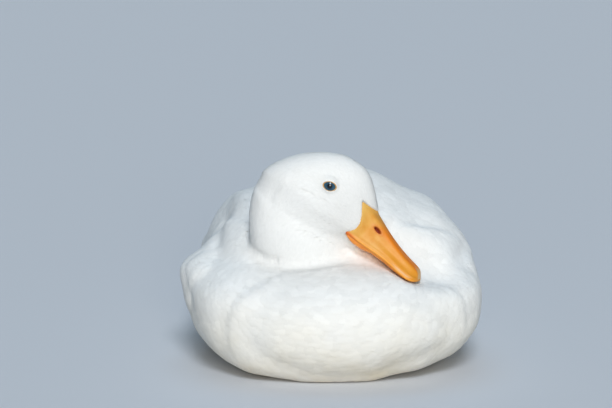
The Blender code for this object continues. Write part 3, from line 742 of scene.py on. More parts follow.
def white_plumage(name, vane):
    """White plumage: darker, creamier patches low down, growing towards the floor, a trace of tone from feather to
    feather, and fine barbs.
    """
    m, nt, p = shader(name, (0.86, 0.86, 0.85), 0.78)
    p.inputs["Specular IOR Level"].default_value = 0.25
    geo = nt.nodes.new("ShaderNodeTexCoord")
    sep = nt.nodes.new("ShaderNodeSeparateXYZ")
    link(nt, geo.outputs["Object"], sep.inputs[0])
    # darker and creamier towards the floor: full below 4 mm of height, none above 62 mm, in noise patches
    low = nt.nodes.new("ShaderNodeMapRange")
    low.inputs["From Min"].default_value, low.inputs["From Max"].default_value = 0.062, 0.004
    low.inputs["To Min"].default_value, low.inputs["To Max"].default_value = 0.0, 1.0
    link(nt, sep.outputs["Z"], low.inputs["Value"])
    patch = nt.nodes.new("ShaderNodeTexNoise")
    patch.inputs["Scale"].default_value = 38
    patch.inputs["Detail"].default_value = 4
    link(nt, geo.outputs["Object"], patch.inputs["Vector"])
    many = nt.nodes.new("ShaderNodeMath")
    many.operation = "MULTIPLY"
    link(nt, low.outputs[0], many.inputs[0])
    link(nt, patch.outputs["Fac"], many.inputs[1])
    mix = nt.nodes.new("ShaderNodeMix")
    mix.data_type = "RGBA"
    mix.inputs["A"].default_value = (0.870, 0.868, 0.852, 1)
    mix.inputs["B"].default_value = (0.80, 0.71, 0.52, 1)
    link(nt, many.outputs[0], mix.inputs["Factor"])
    colour = mix.outputs["Result"]
    tone = nt.nodes.new("ShaderNodeAttribute")
    tone.attribute_name = "tone"
    shade = nt.nodes.new("ShaderNodeMix")
    shade.data_type = "RGBA"
    shade.blend_type = "MULTIPLY"
    shade.inputs["Factor"].default_value = 1.0
    grey = nt.nodes.new("ShaderNodeMapRange")
    grey.inputs["From Min"].default_value, grey.inputs["From Max"].default_value = -1.0, 1.0
    grey.inputs["To Min"].default_value, grey.inputs["To Max"].default_value = 0.94, 1.03
    link(nt, tone.outputs["Fac"], grey.inputs["Value"])
    link(nt, colour, shade.inputs["A"])
    link(nt, grey.outputs[0], shade.inputs["B"])
    link(nt, shade.outputs["Result"], p.inputs["Base Color"])
    bump = nt.nodes.new("ShaderNodeBump")
    if vane:
        uv = nt.nodes.new("ShaderNodeUVMap")
        uv.uv_map = "vane"
        part = nt.nodes.new("ShaderNodeSeparateXYZ")
        link(nt, uv.outputs[0], part.inputs[0])
        side = nt.nodes.new("ShaderNodeMath")
        side.operation = "ABSOLUTE"
        link(nt, part.outputs["X"], side.inputs[0])
        slant = nt.nodes.new("ShaderNodeMath")
        slant.operation = "SUBTRACT"
        link(nt, part.outputs["Y"], slant.inputs[0])
        link(nt, side.outputs[0], slant.inputs[1])
        many = nt.nodes.new("ShaderNodeMath")
        many.operation = "MULTIPLY"
        many.inputs[1].default_value = 16000.0
        link(nt, slant.outputs[0], many.inputs[0])
        sine = nt.nodes.new("ShaderNodeMath")
        sine.operation = "SINE"
        link(nt, many.outputs[0], sine.inputs[0])
        link(nt, sine.outputs[0], bump.inputs["Height"])
        bump.inputs["Distance"].default_value = 0.00005
        bump.inputs["Strength"].default_value = 0.30
    else:
        hair = nt.nodes.new("ShaderNodeTexNoise")
        hair.inputs["Scale"].default_value = 900
        hair.inputs["Detail"].default_value = 3
        link(nt, geo.outputs["Object"], hair.inputs["Vector"])
        link(nt, hair.outputs["Fac"], bump.inputs["Height"])
        bump.inputs["Distance"].default_value = 0.0004
        bump.inputs["Strength"].default_value = 0.4
    link(nt, bump.outputs[0], p.inputs["Normal"])
    return m


SKIN_MAT = white_plumage("plumage_under", False)
VANE_MAT = white_plumage("plumage_vane", True)
skin.data.materials.clear()
skin.data.materials.append(SKIN_MAT)
skin.data.polygons.foreach_set("material_index", np.zeros(len(skin.data.polygons), np.int32))
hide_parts("trunk", "neck", "head", "wing_left", "wing_right", "tail")
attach(skin, "root")

# ---------------------------------------------------------------- bill


def upper_section(x, side_points):
    w, zc, ze, f = float(bill_half(x)), float(bill_ridge(x)), float(bill_edge(x)), float(bill_flat(x))
    h = zc - ze
    ctrl = np.array(
        [(0, zc), (0.55 * f, zc - 0.012 * h), (f, zc - 0.07 * h), (0.52 * f + 0.48 * w, ze + 0.55 * h), (0.97 * w, ze + min(0.24 * h, 2.6)), (w, ze + 0.6), (w - 0.15, ze)]
    )
    t = np.concatenate([[0], np.cumsum(np.linalg.norm(np.diff(ctrl, axis=0), axis=1))])
    k = np.linspace(0, 1, side_points) ** 0.9 * t[-1]
    return np.stack([np.full(side_points, x), smooth_curve(t, ctrl[:, 0])(k), smooth_curve(t, ctrl[:, 1])(k)], -1)


def masks(me, **named):
    for k, v in named.items():
        a = me.attributes.new(k, "FLOAT", "POINT")
        a.data.foreach_set("value", np.asarray(v, np.float32))


def upper_bill():
    M = 40
    line = FEATHER_LINE[:10]
    t = np.concatenate([[0], np.cumsum(np.linalg.norm(np.diff(line[:, 1:], axis=0), axis=1))])
    k = np.linspace(0, 1, M) ** 0.9 * t[-1]
    root = np.stack([smooth_curve(t, line[:, i])(k) for i in range(3)], -1)
    X0 = 8.6
    first, second = upper_section(X0, M), upper_section(X0 + 1, M)
    rows = []
    for s in (-2.4, -1.2):
        r = root.copy()
        r[:, 0] += s
        r[:, 1:] = (r[:, 1:] - [0, 8]) * (1 + 0.03 * s) + [0, 8]
        rows.append(r)
    span = first - root
    for u in np.linspace(0, 1, 16)[:-1]:
        t0, t1 = span * [1, 0.7, 0.7], (second - first) * (X0 - root[:, :1])
        rows.append(
            root * (2 * u**3 - 3 * u**2 + 1) + t0 * (u**3 - 2 * u**2 + u) + first * (3 * u**2 - 2 * u**3) + t1 * (u**3 - u**2)
        )
    for u in np.linspace(0, 1, 84):
        rows.append(upper_section(X0 + (BILL_LENGTH - X0) * (1 - (1 - u) ** 1.35), M))
    half = np.array(rows)  # rows, side points, 3
    R = len(half)
    # outward directions for the relief
    dx = np.gradient(half, axis=0)
    ds = np.gradient(half, axis=1)
    out = unit(np.cross(dx, ds))
    out *= np.sign((out * (half - np.array([0, 0, 8.0]) * [0, 1, 1]))[..., 1:].sum(-1, keepdims=True) + 1e-9)
    edge = bill_edge(half[..., 0])
    up = half[..., 2] - edge
    sidep = np.linspace(0, 1, M)[None] * np.ones((R, 1))
    x = half[..., 0]
    body = step(-1, 5, x)
    tip = step(BILL_LENGTH - 3.2, BILL_LENGTH, x)
    lip = (0.42 * np.exp(-(((up - 0.8) / 0.75) ** 2)) - 0.26 * np.exp(-(((up - 2.5) / 0.7) ** 2))) * (sidep > 0.5) * body * (1 - tip)
    nail_q = np.sqrt(((x - (BILL_LENGTH - 2.6)) / 6.2) ** 2 + (half[..., 1] / 4.6) ** 2)
    nail = 1 - step(0.72, 1.10, nail_q)
    relief = lip + 0.24 * nail - 0.09 * np.exp(-(((nail_q - 1.06) / 0.12) ** 2))
    # a shallow hollow along the side between the ridge and the lip
    relief -= 0.5 * np.exp(-(((sidep - 0.52) / 0.16) ** 2)) * step(6, 18, x) * (1 - step(36, 50, x))
    # the ridge stands out a little as a band
    relief += 0.22 * (1 - step(0.20, 0.30, sidep)) * step(4, 12, x) * (1 - step(28, 44, x))
    nx, nz = x - 14.4, half[..., 2] - 12.5
    a = math.radians(-16)
    q = np.sqrt(((nx * math.cos(a) + nz * math.sin(a)) / 3.1) ** 2 + ((-nx * math.sin(a) + nz * math.cos(a)) / 1.2) ** 2)
    pit = 1 - step(0.62, 1.05, q)
    rim = np.exp(-(((q - 1.35) / 0.28) ** 2))
    relief += 0.30 * rim - 3.6 * pit * np.where(q < 1.3, 1, 0)
    half = half + out * relief[..., None]
    # underside
    w, ze = bill_half(np.maximum(half[:, 0, 0], 0)), bill_edge(half[:, 0, 0])
    xs = half[:, -1, 0]
    w, ze = bill_half(xs), bill_edge(xs)
    last = half[:, -1]
    under = np.stack(
        [
            np.stack([xs, last[:, 1] - 0.35, last[:, 2] - 0.12], -1),
            np.stack([xs, last[:, 1] - 0.9, last[:, 2] + 0.15], -1),
            np.stack([xs, 0.80 * last[:, 1], last[:, 2] + 0.9], -1),
            np.stack([xs, 0.4 * last[:, 1], last[:, 2] + 1.3], -1),
            np.stack([xs, 0 * last[:, 1], last[:, 2] + 1.4], -1),
        ],
        1,
    )
    left = np.concatenate([half, under], 1)
    right = left[:, ::-1][:, 1:-1] * [1, -1, 1]
    ring = np.concatenate([left, right], 1)
    n, m = ring.shape[:2]

    def spread(f, fill=0.0):
        l = np.concatenate([f, np.full((R, 5), fill)], 1)
        return np.concatenate([l, l[:, ::-1][:, 1:-1]], 1).ravel()

    ob = loft("bill_upper_horn", from_head(ring.reshape(-1, 3)).reshape(n, m, 3))
    extra = 2
    values = dict(
        # painted shade: the nostril hollow is coloured near-black red, as if in shadow
        pit=spread(1 - step(0.75, 1.25, q)),
        blush=spread(np.exp(-(((q - 1.2) / 0.7) ** 2))),
        ridge=spread((1 - step(0.20, 0.42, sidep)) * step(9, 22, x)),
        fore=spread(step(16, 34, x)),
        gape=spread((1 - step(0.0, 8.5, x)) * np.exp(-(((up - 0.2) / 1.5) ** 2)) * (sidep > 0.6)),
        corner=spread(1 - step(-2, 9, x - 0.0 * sidep)),
        lip=spread(np.exp(-(((up - 0.7) / 0.8) ** 2)) * (sidep > 0.5)),
        # painted highlight: a pale band along each side above the lip near the tip, standing in for a sheen
        painted_highlight_strip=spread(np.exp(-(((up - 2.0) / 0.6) ** 2)) * (sidep > 0.45) * step(33, 42, x) * (1 - step(49, 53, x))),
        nail=spread(nail * step(BILL_LENGTH - 8, BILL_LENGTH - 3, x)),
    )
    masks(ob.data, **{k: np.concatenate([v, np.zeros(extra)]) for k, v in values.items()})
    return ob


lower_l = [-1.5, 4, 10, 18, 28, 38, 46, 51, 54]
lower_half = smooth_curve(lower_l, [11.6, 11.2, 10.2, 8.6, 8.4, 9.4, 9.8, 7.6, 2.4])
lower_deep = smooth_curve(lower_l, [-6.2, -6.2, -5.6, -4.6, -4.6, -5.2, -5.4, -4.8, -3.6])


def lower_bill():
    rings = []
    a = np.linspace(0, np.pi, 25)
    drop = np.abs(np.sin(a)) ** 0.8
    drop[[0, -1]] = 0
    for k in np.linspace(0, 1, 60):
        x = -2.6 + 56.6 * (1 - (1 - k) ** 1.3)
        w, zb, zt = float(lower_half(x)), float(lower_deep(x)), float(bill_edge(x)) - 0.45
        lead = 9.5 * max(0.0, 1 - (x + 1.5) / 24)
        row = np.stack([x + lead * drop, w * np.cos(a), zt - (zt - zb) * drop], -1)
        top = [(x, -0.9 * w, zt + 0.1), (x, -0.8 * w, zt - 0.7), (x, 0, zt - 0.9), (x, 0.8 * w, zt - 0.7), (x, 0.9 * w, zt + 0.1)]
        rings.append(from_head(np.concatenate([row, top])))
    return loft("bill_lower_horn", rings)


def horn_material():
    m, nt, p = shader("bill_horn", (0.9, 0.42, 0.06), 0.36)
    p.inputs["Specular IOR Level"].default_value = 0.38
    p.inputs["Coat Weight"].default_value = 0.05
    p.inputs["Coat Roughness"].default_value = 0.35
    p.inputs["Subsurface Weight"].default_value = 0.0
    coords = nt.nodes.new("ShaderNodeTexCoord")

    def attr(name):
        a = nt.nodes.new("ShaderNodeAttribute")
        a.attribute_name = name
        return a.outputs["Fac"]

    def mixed(base, fac, colour, amount=1.0):
        k = nt.nodes.new("ShaderNodeMath")
        k.operation = "MULTIPLY"
        k.inputs[1].default_value = amount
        link(nt, fac, k.inputs[0])
        x = nt.nodes.new("ShaderNodeMix")
        x.data_type = "RGBA"
        x.inputs["B"].default_value = (*colour, 1)
        link(nt, k.outputs[0], x.inputs["Factor"])
        if isinstance(base, tuple):
            x.inputs["A"].default_value = (*base, 1)
        else:
            link(nt, base, x.inputs["A"])
        return x.outputs["Result"]

    noise = nt.nodes.new("ShaderNodeTexNoise")
    noise.inputs["Scale"].default_value = 210
    noise.inputs["Detail"].default_value = 5
    link(nt, coords.outputs["Object"], noise.inputs["Vector"])
    spots = nt.nodes.new("ShaderNodeMapRange")
    spots.inputs["From Min"].default_value, spots.inputs["From Max"].default_value = 0.36, 0.64
    link(nt, noise.outputs["Fac"], spots.inputs["Value"])
    c = mixed((0.76, 0.375, 0.070), spots.outputs[0], (0.72, 0.28, 0.028), 0.8)
    c = mixed(c, attr("fore"), (0.77, 0.29, 0.014), 0.72)
    c = mixed(c, attr("ridge"), (0.80, 0.20, 0.004), 0.85)
    c = mixed(c, attr("corner"), (0.72, 0.45, 0.11), 0.70)
    c = mixed(c, attr("lip"), (0.92, 0.36, 0.03), 0.7)
    c = mixed(c, attr("gape"), (0.70, 0.09, 0.012), 0.9)
    # painted highlight: the pale band along the sides near the tip
    c = mixed(c, attr("painted_highlight_strip"), (0.92, 0.66, 0.42), 0.55)
    c = mixed(c, attr("nail"), (0.66, 0.45, 0.22), 0.85)
    c = mixed(c, attr("blush"), (0.70, 0.17, 0.03), 0.45)
    # painted shade inside the nostril hollow
    c = mixed(c, attr("pit"), (0.24, 0.028, 0.010), 1.0)
    link(nt, c, p.inputs["Base Color"])
    fine = nt.nodes.new("ShaderNodeTexNoise")
    fine.inputs["Scale"].default_value = 1400
    fine.inputs["Detail"].default_value = 4
    link(nt, coords.outputs["Object"], fine.inputs["Vector"])
    bump = nt.nodes.new("ShaderNodeBump")
    bump.inputs["Distance"].default_value = 0.00012
    bump.inputs["Strength"].default_value = 0.35
    link(nt, fine.outputs["Fac"], bump.inputs["Height"])
    link(nt, bump.outputs[0], p.inputs["Normal"])
    rough = nt.nodes.new("ShaderNodeMapRange")
    rough.inputs["To Min"].default_value, rough.inputs["To Max"].default_value = 0.42, 0.58
    link(nt, noise.outputs["Fac"], rough.inputs["Value"])
    link(nt, rough.outputs[0], p.inputs["Roughness"])
    return m


def red_horn_material():
    m, nt, p = shader("bill_lower", (0.80, 0.26, 0.05), 0.38)
    coords = nt.nodes.new("ShaderNodeTexCoord")
    noise = nt.nodes.new("ShaderNodeTexNoise")
    noise.inputs["Scale"].default_value = 160
    link(nt, coords.outputs["Object"], noise.inputs["Vector"])
    x = nt.nodes.new("ShaderNodeMix")
    x.data_type = "RGBA"
    x.inputs["A"].default_value = (0.92, 0.37, 0.05, 1)
    x.inputs["B"].default_value = (0.86, 0.24, 0.02, 1)
    link(nt, noise.outputs["Fac"], x.inputs["Factor"])
    link(nt, x.outputs["Result"], p.inputs["Base Color"])
    bump = nt.nodes.new("ShaderNodeBump")
    bump.inputs["Distance"].default_value = 0.00015
    bump.inputs["Strength"].default_value = 0.3
    link(nt, noise.outputs["Fac"], bump.inputs["Height"])
    link(nt, bump.outputs[0], p.inputs["Normal"])
    return m


upper = upper_bill()
upper.data.materials.append(horn_material())
lower = lower_bill()
lower.data.materials.append(red_horn_material())
for piece, node in ((upper, "bill_upper"), (lower, "bill_lower")):
    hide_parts(node)
    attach(piece, "root")

# ---------------------------------------------------------------- eyes


def eye_material():
    m, nt, p = shader("eye_slate", (0.06, 0.14, 0.19), 0.12)
    p.inputs["Coat Weight"].default_value = 0.3
    p.inputs["Specular IOR Level"].default_value = 0.3
    p.inputs["Coat Roughness"].default_value = 0.02
    a = nt.nodes.new("ShaderNodeAttribute")
    a.attribute_name = "polar"
    ramp = nt.nodes.new("ShaderNodeValToRGB")
    ramp.color_ramp.interpolation = "LINEAR"
    stops = [(0.0, (0.004, 0.006, 0.010)), (0.125, (0.004, 0.006, 0.010)), (0.155, (0.018, 0.050, 0.085)), (0.30, (0.038, 0.105, 0.160)), (0.44, (0.034, 0.080, 0.115)), (0.50, (0.012, 0.022, 0.032)), (0.60, (0.010, 0.016, 0.022)), (1.0, (0.02, 0.02, 0.02))]
    el = ramp.color_ramp.elements
    while len(el) < len(stops):
        el.new(0.5)
    for e, (at, col) in zip(el, stops):
        e.position = at
        e.color = (*col, 1)
    link(nt, a.outputs["Fac"], ramp.inputs["Fac"])
    rays = nt.nodes.new("ShaderNodeAttribute")
    rays.attribute_name = "around"
    noise = nt.nodes.new("ShaderNodeTexNoise")
    noise.noise_dimensions = "1D"
    noise.inputs["Scale"].default_value = 40
    link(nt, rays.outputs["Fac"], noise.inputs["W"])
    x = nt.nodes.new("ShaderNodeMix")
    x.data_type = "RGBA"
    x.blend_type = "OVERLAY"
    x.inputs["Factor"].default_value = 0.35
    link(nt, ramp.outputs["Color"], x.inputs["A"])
    link(nt, noise.outputs["Fac"], x.inputs["B"])
    link(nt, x.outputs["Result"], p.inputs["Base Color"])
    return m


def rim_material():
    m, nt, p = shader("eye_rim", (0.62, 0.36, 0.12), 0.5)
    coords = nt.nodes.new("ShaderNodeTexCoord")
    noise = nt.nodes.new("ShaderNodeTexNoise")
    noise.inputs["Scale"].default_value = 700
    link(nt, coords.outputs["Object"], noise.inputs["Vector"])
    x = nt.nodes.new("ShaderNodeMix")
    x.data_type = "RGBA"
    x.inputs["A"].default_value = (0.70, 0.40, 0.12, 1)
    x.inputs["B"].default_value = (0.42, 0.24, 0.10, 1)
    link(nt, noise.outputs["Fac"], x.inputs["Factor"])
    link(nt, x.outputs["Result"], p.inputs["Base Color"])
    bump = nt.nodes.new("ShaderNodeBump")
    bump.inputs["Distance"].default_value = 0.0002
    bump.inputs["Strength"].default_value = 0.5
    link(nt, noise.outputs["Fac"], bump.inputs["Height"])
    link(nt, bump.outputs[0], p.inputs["Normal"])
    return m


EYE_MAT, RIM_MAT = eye_material(), rim_material()


def eyeball(side, name):
    c, a, u, v = eye_frame(side)
    n, m = 44, 72
    phi = np.linspace(0.02, math.radians(165), n)
    t = np.linspace(0, 2 * np.pi, m, endpoint=False)
    r = EYE_RADIUS - 0.12 + 0.30 * np.exp(-((phi / math.radians(24)) ** 2))
    rings = [
        from_head(c + r[i] * (math.cos(phi[i]) * a + math.sin(phi[i]) * (np.cos(t)[:, None] * u + np.sin(t)[:, None] * v)))
        for i in range(n)
    ]
    ob = loft(name, rings)
    polar = np.concatenate([np.repeat(phi / (math.pi / 2), m), [0, 2]])
    around = np.concatenate([np.tile(t / (2 * np.pi), n), [0, 0]])
    masks(ob.data, polar=polar, around=around)
    ob.data.materials.append(EYE_MAT)
    return ob


def eye_rim(side, name):
    """The bare edge of the lids: a thin fleshy band round the opening, thicker at its corners."""
    c, a, u, v = eye_frame(side)
    rings = []
    for t in np.linspace(0, 2 * np.pi, 96, endpoint=False):
        d = np.array([math.cos(t), math.sin(t)])
        e = opening(np.array([d[0] * 4]), np.array([d[1] * 4]))[0]
        p = d * 4 / e
        corner = abs(math.cos(t)) ** 6
        big = 0.34 + 0.16 * corner * (1.5 if math.cos(t) > 0 else 1.0)
        sphere = math.sqrt((EYE_RADIUS + 0.22) ** 2 - p @ p)
        mid = c + p[0] * u + p[1] * v + sphere * a
        radial = unit(d[0] * u + d[1] * v)
        w = np.linspace(0, 2 * np.pi, 12, endpoint=False)
        rings.append(mid + (np.cos(w) * big * 0.9)[:, None] * radial + (np.sin(w) * big * 0.8)[:, None] * a)
    rings = np.array(rings)
    n, m = rings.shape[:2]
    verts = from_head(rings.reshape(-1, 3))
    faces = [(i * m + j, i * m + (j + 1) % m, ((i + 1) % n) * m + (j + 1) % m, ((i + 1) % n) * m + j) for i in range(n) for j in range(m)]
    ob = new_mesh(name, verts, faces)
    bm = bmesh.new()
    bm.from_mesh(ob.data)
    bmesh.ops.recalc_face_normals(bm, faces=bm.faces[:])
    bm.to_mesh(ob.data)
    bm.free()
    ob.data.materials.append(RIM_MAT)
    return ob


for side, word in ((1, "left"), (-1, "right")):
    ball = eyeball(side, "eyeball_" + word)
    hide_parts("eye_" + word)
    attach(ball, "root")
    ring = eye_rim(side, "eye_rim_" + word)
    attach(ring, "root")

# ---------------------------------------------------------------- plumage: where it grows


class Guide:
    """The skin, as the surface that every feather is laid on (millimetres, design frame)."""

    def __init__(self, ob):
        me = ob.data
        self.co, _ = mesh_arrays(me)
        n = len(me.polygons)
        tri = np.empty(n * 3, np.int32)
        me.polygons.foreach_get("vertices", tri)
        self.tri = tri.reshape(-1, 3)
        a, b, c = (self.co[self.tri[:, i]] for i in range(3))
        cross = np.cross(b - a, c - a)
        self.area = np.linalg.norm(cross, axis=1) / 2
        vn = np.zeros_like(self.co)
        for i in range(3):
            for k in range(3):
                vn[:, k] += np.bincount(self.tri[:, i], cross[:, k], len(vn))
        vn = relax(unit(vn), edge_array(me), 4, 0.6)
        self.vn = unit(vn)
        self.tree = BVHTree.FromPolygons(self.co.tolist(), self.tri.tolist(), all_triangles=True)

    def scatter(self, weight, count):
        """Random points with a density in proportion to weight (per triangle)."""
        p = self.area * weight
        i = rng.choice(len(p), size=count, p=p / p.sum())
        r = rng.random((count, 2))
        r = np.where((r.sum(1) > 1)[:, None], 1 - r, r)
        t = self.tri[i]
        a, b, c = (self.co[t[:, k]] for k in range(3))
        na, nb, nc = (self.vn[t[:, k]] for k in range(3))
        u, v = r[:, :1], r[:, 1:]
        return a + (b - a) * u + (c - a) * v, unit(na * (1 - u - v) + nb * u + nc * v)

    def project(self, p):
        near = self.tree.find_nearest
        loc = np.empty_like(p)
        idx = np.empty(len(p), np.int64)
        for k, q in enumerate(p.tolist()):
            r = near(q)
            loc[k] = r[0]
            idx[k] = r[2]
        t = self.tri[idx]
        a, b, c = (self.co[t[:, k]] for k in range(3))
        e0, e1, e2 = b - a, c - a, loc - a
        d00, d01, d11 = (e0 * e0).sum(1), (e0 * e1).sum(1), (e1 * e1).sum(1)
        d20, d21 = (e2 * e0).sum(1), (e2 * e1).sum(1)
        den = np.maximum(d00 * d11 - d01 * d01, 1e-12)
        v, w = (d11 * d20 - d01 * d21) / den, (d00 * d21 - d01 * d20) / den
        v, w = np.clip(v, 0, 1)[:, None], np.clip(w, 0, 1)[:, None]
        n = self.vn[t[:, 0]] * (1 - v - w) + self.vn[t[:, 1]] * v + self.vn[t[:, 2]] * w
        return loc, unit(n)


guide = Guide(skin)


def wing_ratio(side, p):
    """1 on the folded wing's form, less inside; and the angle round its section."""
    p = p - unevenness(p)
    k = np.interp(p[:, 1], _wy, np.linspace(0, 1, 400))
    _, x, z, a, b, tilt, bend = (f(k) for f in _wc)
    r = np.radians(tilt)
    inward = 4.0 * np.clip((p[:, 1] - 110) / 60, 0, 1) if side < 0 else 0.0
    dx, dz = side * p[:, 0] - (x - inward), p[:, 2] - z
    s = (-dx * np.sin(r) + dz * np.cos(r)) / b
    for _ in range(2):
        bx = dx + bend * np.clip(np.abs(s), 0, 1) ** (2 * 0.85)
        c = (bx * np.cos(r) + dz * np.sin(r)) / a
        s = (-bx * np.sin(r) + dz * np.cos(r)) / b
    beyond = np.maximum(68 - p[:, 1], 0) + np.maximum(p[:, 1] - 368, 0)
    return (np.abs(c) ** (2 / 0.85) + np.abs(s) ** (2 / 0.85)) ** (0.85 / 2) + beyond / 20, np.arctan2(spow(s, 1 / 0.85), spow(c, 1 / 0.85))


def flow(p, n):
    """The lie of the plumage: away from the bill over the head, down the neck, out over the breast, then to the tail."""
    ratio, h = head_ratio(p)
    on_head = 1 - step(1.02, 1.25, ratio)
    v = h - np.array([4.0, 0.0, 4.0])
    head = unit(v) @ HEAD_TURN.T
    down = np.array([0.0, 0.12, -1.0])
    back = step(-25, -66, h[:, 0]) * 1.7 + 0.75 * step(-5, -40, h[:, 0]) * (h[:, 2] < 12)
    head = head + down * back[:, None]
    q = p - np.array([-14.0, 74.0, 92.0])
    body = unit(q)
    w = 0.30 + 1.7 * step(45, 130, p[:, 1]) + 1.5 * step(42, 12, p[:, 2]) + 0.9 * step(40, 100, np.abs(p[:, 0])) + 3.0 * step(150, 260, p[:, 1])
    body = body + w[:, None] * np.array([0.0, 1.0, 0.0])
    nr = (1 - step(1.0, 1.3, neck_ratio(p))) * (1 - on_head) * step(60, 85, p[:, 2])
    body = body * (1 - nr[:, None]) + nr[:, None] * (np.array([0.0, 0.15, -1.0]) + 0.35 * unit(q))
    f = head * on_head[:, None] + body * (1 - on_head[:, None])
    f = f - n * (f * n).sum(1, keepdims=True)
    return unit(f)


def thin(points, radius, seed):
    """Keeps points at least radius apart (a radius for each)."""
    order = np.random.default_rng(seed).permutation(len(points))
    cell = float(np.max(radius))
    keys = np.floor(points / cell).astype(int).tolist()
    pts, rad = points.tolist(), radius.tolist()
    grid, kept = {}, []
    near = [(i, j, k) for i in (-1, 0, 1) for j in (-1, 0, 1) for k in (-1, 0, 1)]
    for i in order.tolist():
        x, y, z = pts[i]
        kx, ky, kz = keys[i]
        r2 = rad[i] ** 2
        ok = True
        for dx, dy, dz in near:
            for ax, ay, az in grid.get((kx + dx, ky + dy, kz + dz), ()):
                if (ax - x) ** 2 + (ay - y) ** 2 + (az - z) ** 2 < r2:
                    ok = False
                    break
            if not ok:
                break
        if ok:
            grid.setdefault((kx, ky, kz), []).append((x, y, z))
            kept.append(i)
    return np.array(kept, int)


def unwrapped(p):
    """A place in the unit square for a point of the skin: the body rolled off round its long axis, the head round its own."""
    ratio, h = head_ratio(p)
    theta = np.arctan2(p[:, 0] - 2, p[:, 2] - 55) / (2 * np.pi) + 0.5
    body = np.stack([0.02 + 0.96 * theta, 0.02 + 0.58 * np.clip(p[:, 1] / 436, 0, 1)], -1)
    phi = np.arctan2(h[:, 1], h[:, 2] - 8) / (2 * np.pi) + 0.5
    head = np.stack([0.02 + 0.96 * phi, 0.64 + 0.34 * np.clip((h[:, 0] + 80) / 92, 0, 1)], -1)
    return np.where((ratio < 1.1)[:, None], head, body)


# ---------------------------------------------------------------- plumage: how a feather is made


def outline(t, narrow=0.3, widest=0.6, tip=2.0):
    t = np.asarray(t, float)
    rise = narrow + (1 - narrow) * step(0, widest, t)
    fall = np.sqrt(np.clip(1 - (np.clip(t - widest, 0, 1) / (1 - widest)) ** tip, 0, 1))
    return rise * fall


def vane_template(stations, columns, barbs, narrow=0.3, widest=0.6, tip=2.0, seed=1, barb=0.13, power=0.36, tip_drop=0.02):
    """Points of one feather as (along, across, lift, dome) in units of length, half width, lift, dome; and its triangles."""
    pts, tris = [], []
    cols = np.array(columns, float)
    m = len(cols)
    for t in stations:
        o = outline(t, narrow, widest, tip)
        for c in cols:
            pts.append((t - 0.05 * abs(c) ** 2 * o * step(0.2, 0.8, t), c * o, t, abs(c) * o))
    for i in range(len(stations) - 1):
        for j in range(m - 1):
            a, b, c, d = i * m + j, i * m + j + 1, (i + 1) * m + j + 1, (i + 1) * m + j
            tris += [(a, b, c), (a, c, d)]
    end = len(pts)
    pts.append((1.0, 0.0, 1.0, 0.0))
    last = (len(stations) - 1) * m
    for j in range(m - 1):
        tris.append((last + j, last + j + 1, end))
    r = np.random.default_rng(seed)
    if barbs:
        ts = np.concatenate([np.linspace(0.42, 0.97, barbs), np.linspace(0.42, 0.97, barbs)])
        sides = np.concatenate([np.ones(barbs), -np.ones(barbs)])
        for t, s in zip(ts, sides):
            t = t + r.uniform(-0.01, 0.01)
            o0, o1 = outline(t - 0.035, narrow, widest, tip), outline(min(t + 0.02, 0.995), narrow, widest, tip)
            n = len(pts)
            long = barb * r.uniform(0.55, 1.25)
            spread = (0.35 + 0.5 * (1 - t)) * r.uniform(0.8, 1.2)
            pts.append((t - 0.035 - 0.05 * o0**2, s * o0 * 0.97, t, o0))
            pts.append((min(t + 0.02, 0.995) - 0.05 * o1**2, s * o1 * 0.97, t, o1))
            pts.append((t + long, s * (o1 + long * spread), min(t + 0.08, 1.1), o1 + 0.25))
            tris.append((n, n + 1, n + 2) if s < 0 else (n + 1, n, n + 2))
    pts = np.array(pts)
    t = pts[:, 2].copy()
    pts[:, 2] = np.clip(t, 0, 1) ** power - tip_drop * np.clip((t - 0.75) / 0.25, 0, 1.2) ** 1.5
    return pts, np.array(tris)


class Coat:
    """One coat piece: many feathers from a few templates, joined in one mesh."""

    def __init__(self, name):
        self.name = name
        self.verts, self.tris, self.bakes, self.vanes, self.tones = [], [], [], [], []
        self.count = 0

    def add(self, verts, tris, bake_uv, vane_uv, tone):
        """verts (n, m, 3); tris (k, 3); uvs (n, m, 2); tone (n,)"""
        n, m, _ = verts.shape
        t = tris[None] + (np.arange(n) * m)[:, None, None] + self.count
        self.count += n * m
        self.verts.append(verts.reshape(-1, 3))
        self.tris.append(t.reshape(-1, 3))
        self.bakes.append(bake_uv.reshape(-1, 2))
        self.vanes.append(vane_uv.reshape(-1, 2))
        self.tones.append(np.repeat(tone, m))

    def make(self, material, floor=0.25):
        v, t = np.concatenate(self.verts), np.concatenate(self.tris)
        v[:, 2] = np.maximum(v[:, 2], floor)
        a, b, c = v[t[:, 0]], v[t[:, 1]], v[t[:, 2]]
        t = t[np.linalg.norm(np.cross(b - a, c - a), axis=1) > 1e-5]
        me = bpy.data.meshes.new(self.name)
        me.vertices.add(len(v))
        me.vertices.foreach_set("co", to_part(v).astype(np.float32).ravel())
        me.loops.add(len(t) * 3)
        me.loops.foreach_set("vertex_index", t.astype(np.int32).ravel())
        me.polygons.add(len(t))
        me.polygons.foreach_set("loop_start", (np.arange(len(t)) * 3).astype(np.int32))
        me.update(calc_edges=True)
        flat = t.ravel()
        for name, uv in (("OFBake", np.concatenate(self.bakes)), ("vane", np.concatenate(self.vanes))):
            layer = me.uv_layers.new(name=name, do_init=False)
            layer.uv.foreach_set("vector", uv[flat].astype(np.float32).ravel())
        masks(me, tone=np.concatenate(self.tones))
        me.shade_smooth()
        me.materials.append(material)
        ob = bpy.data.objects.new(self.name, me)
        scene.collection.objects.link(ob)
        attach(ob, "root")
        print(self.name, len(t), "triangles")
        return ob


PATCH = 0.003


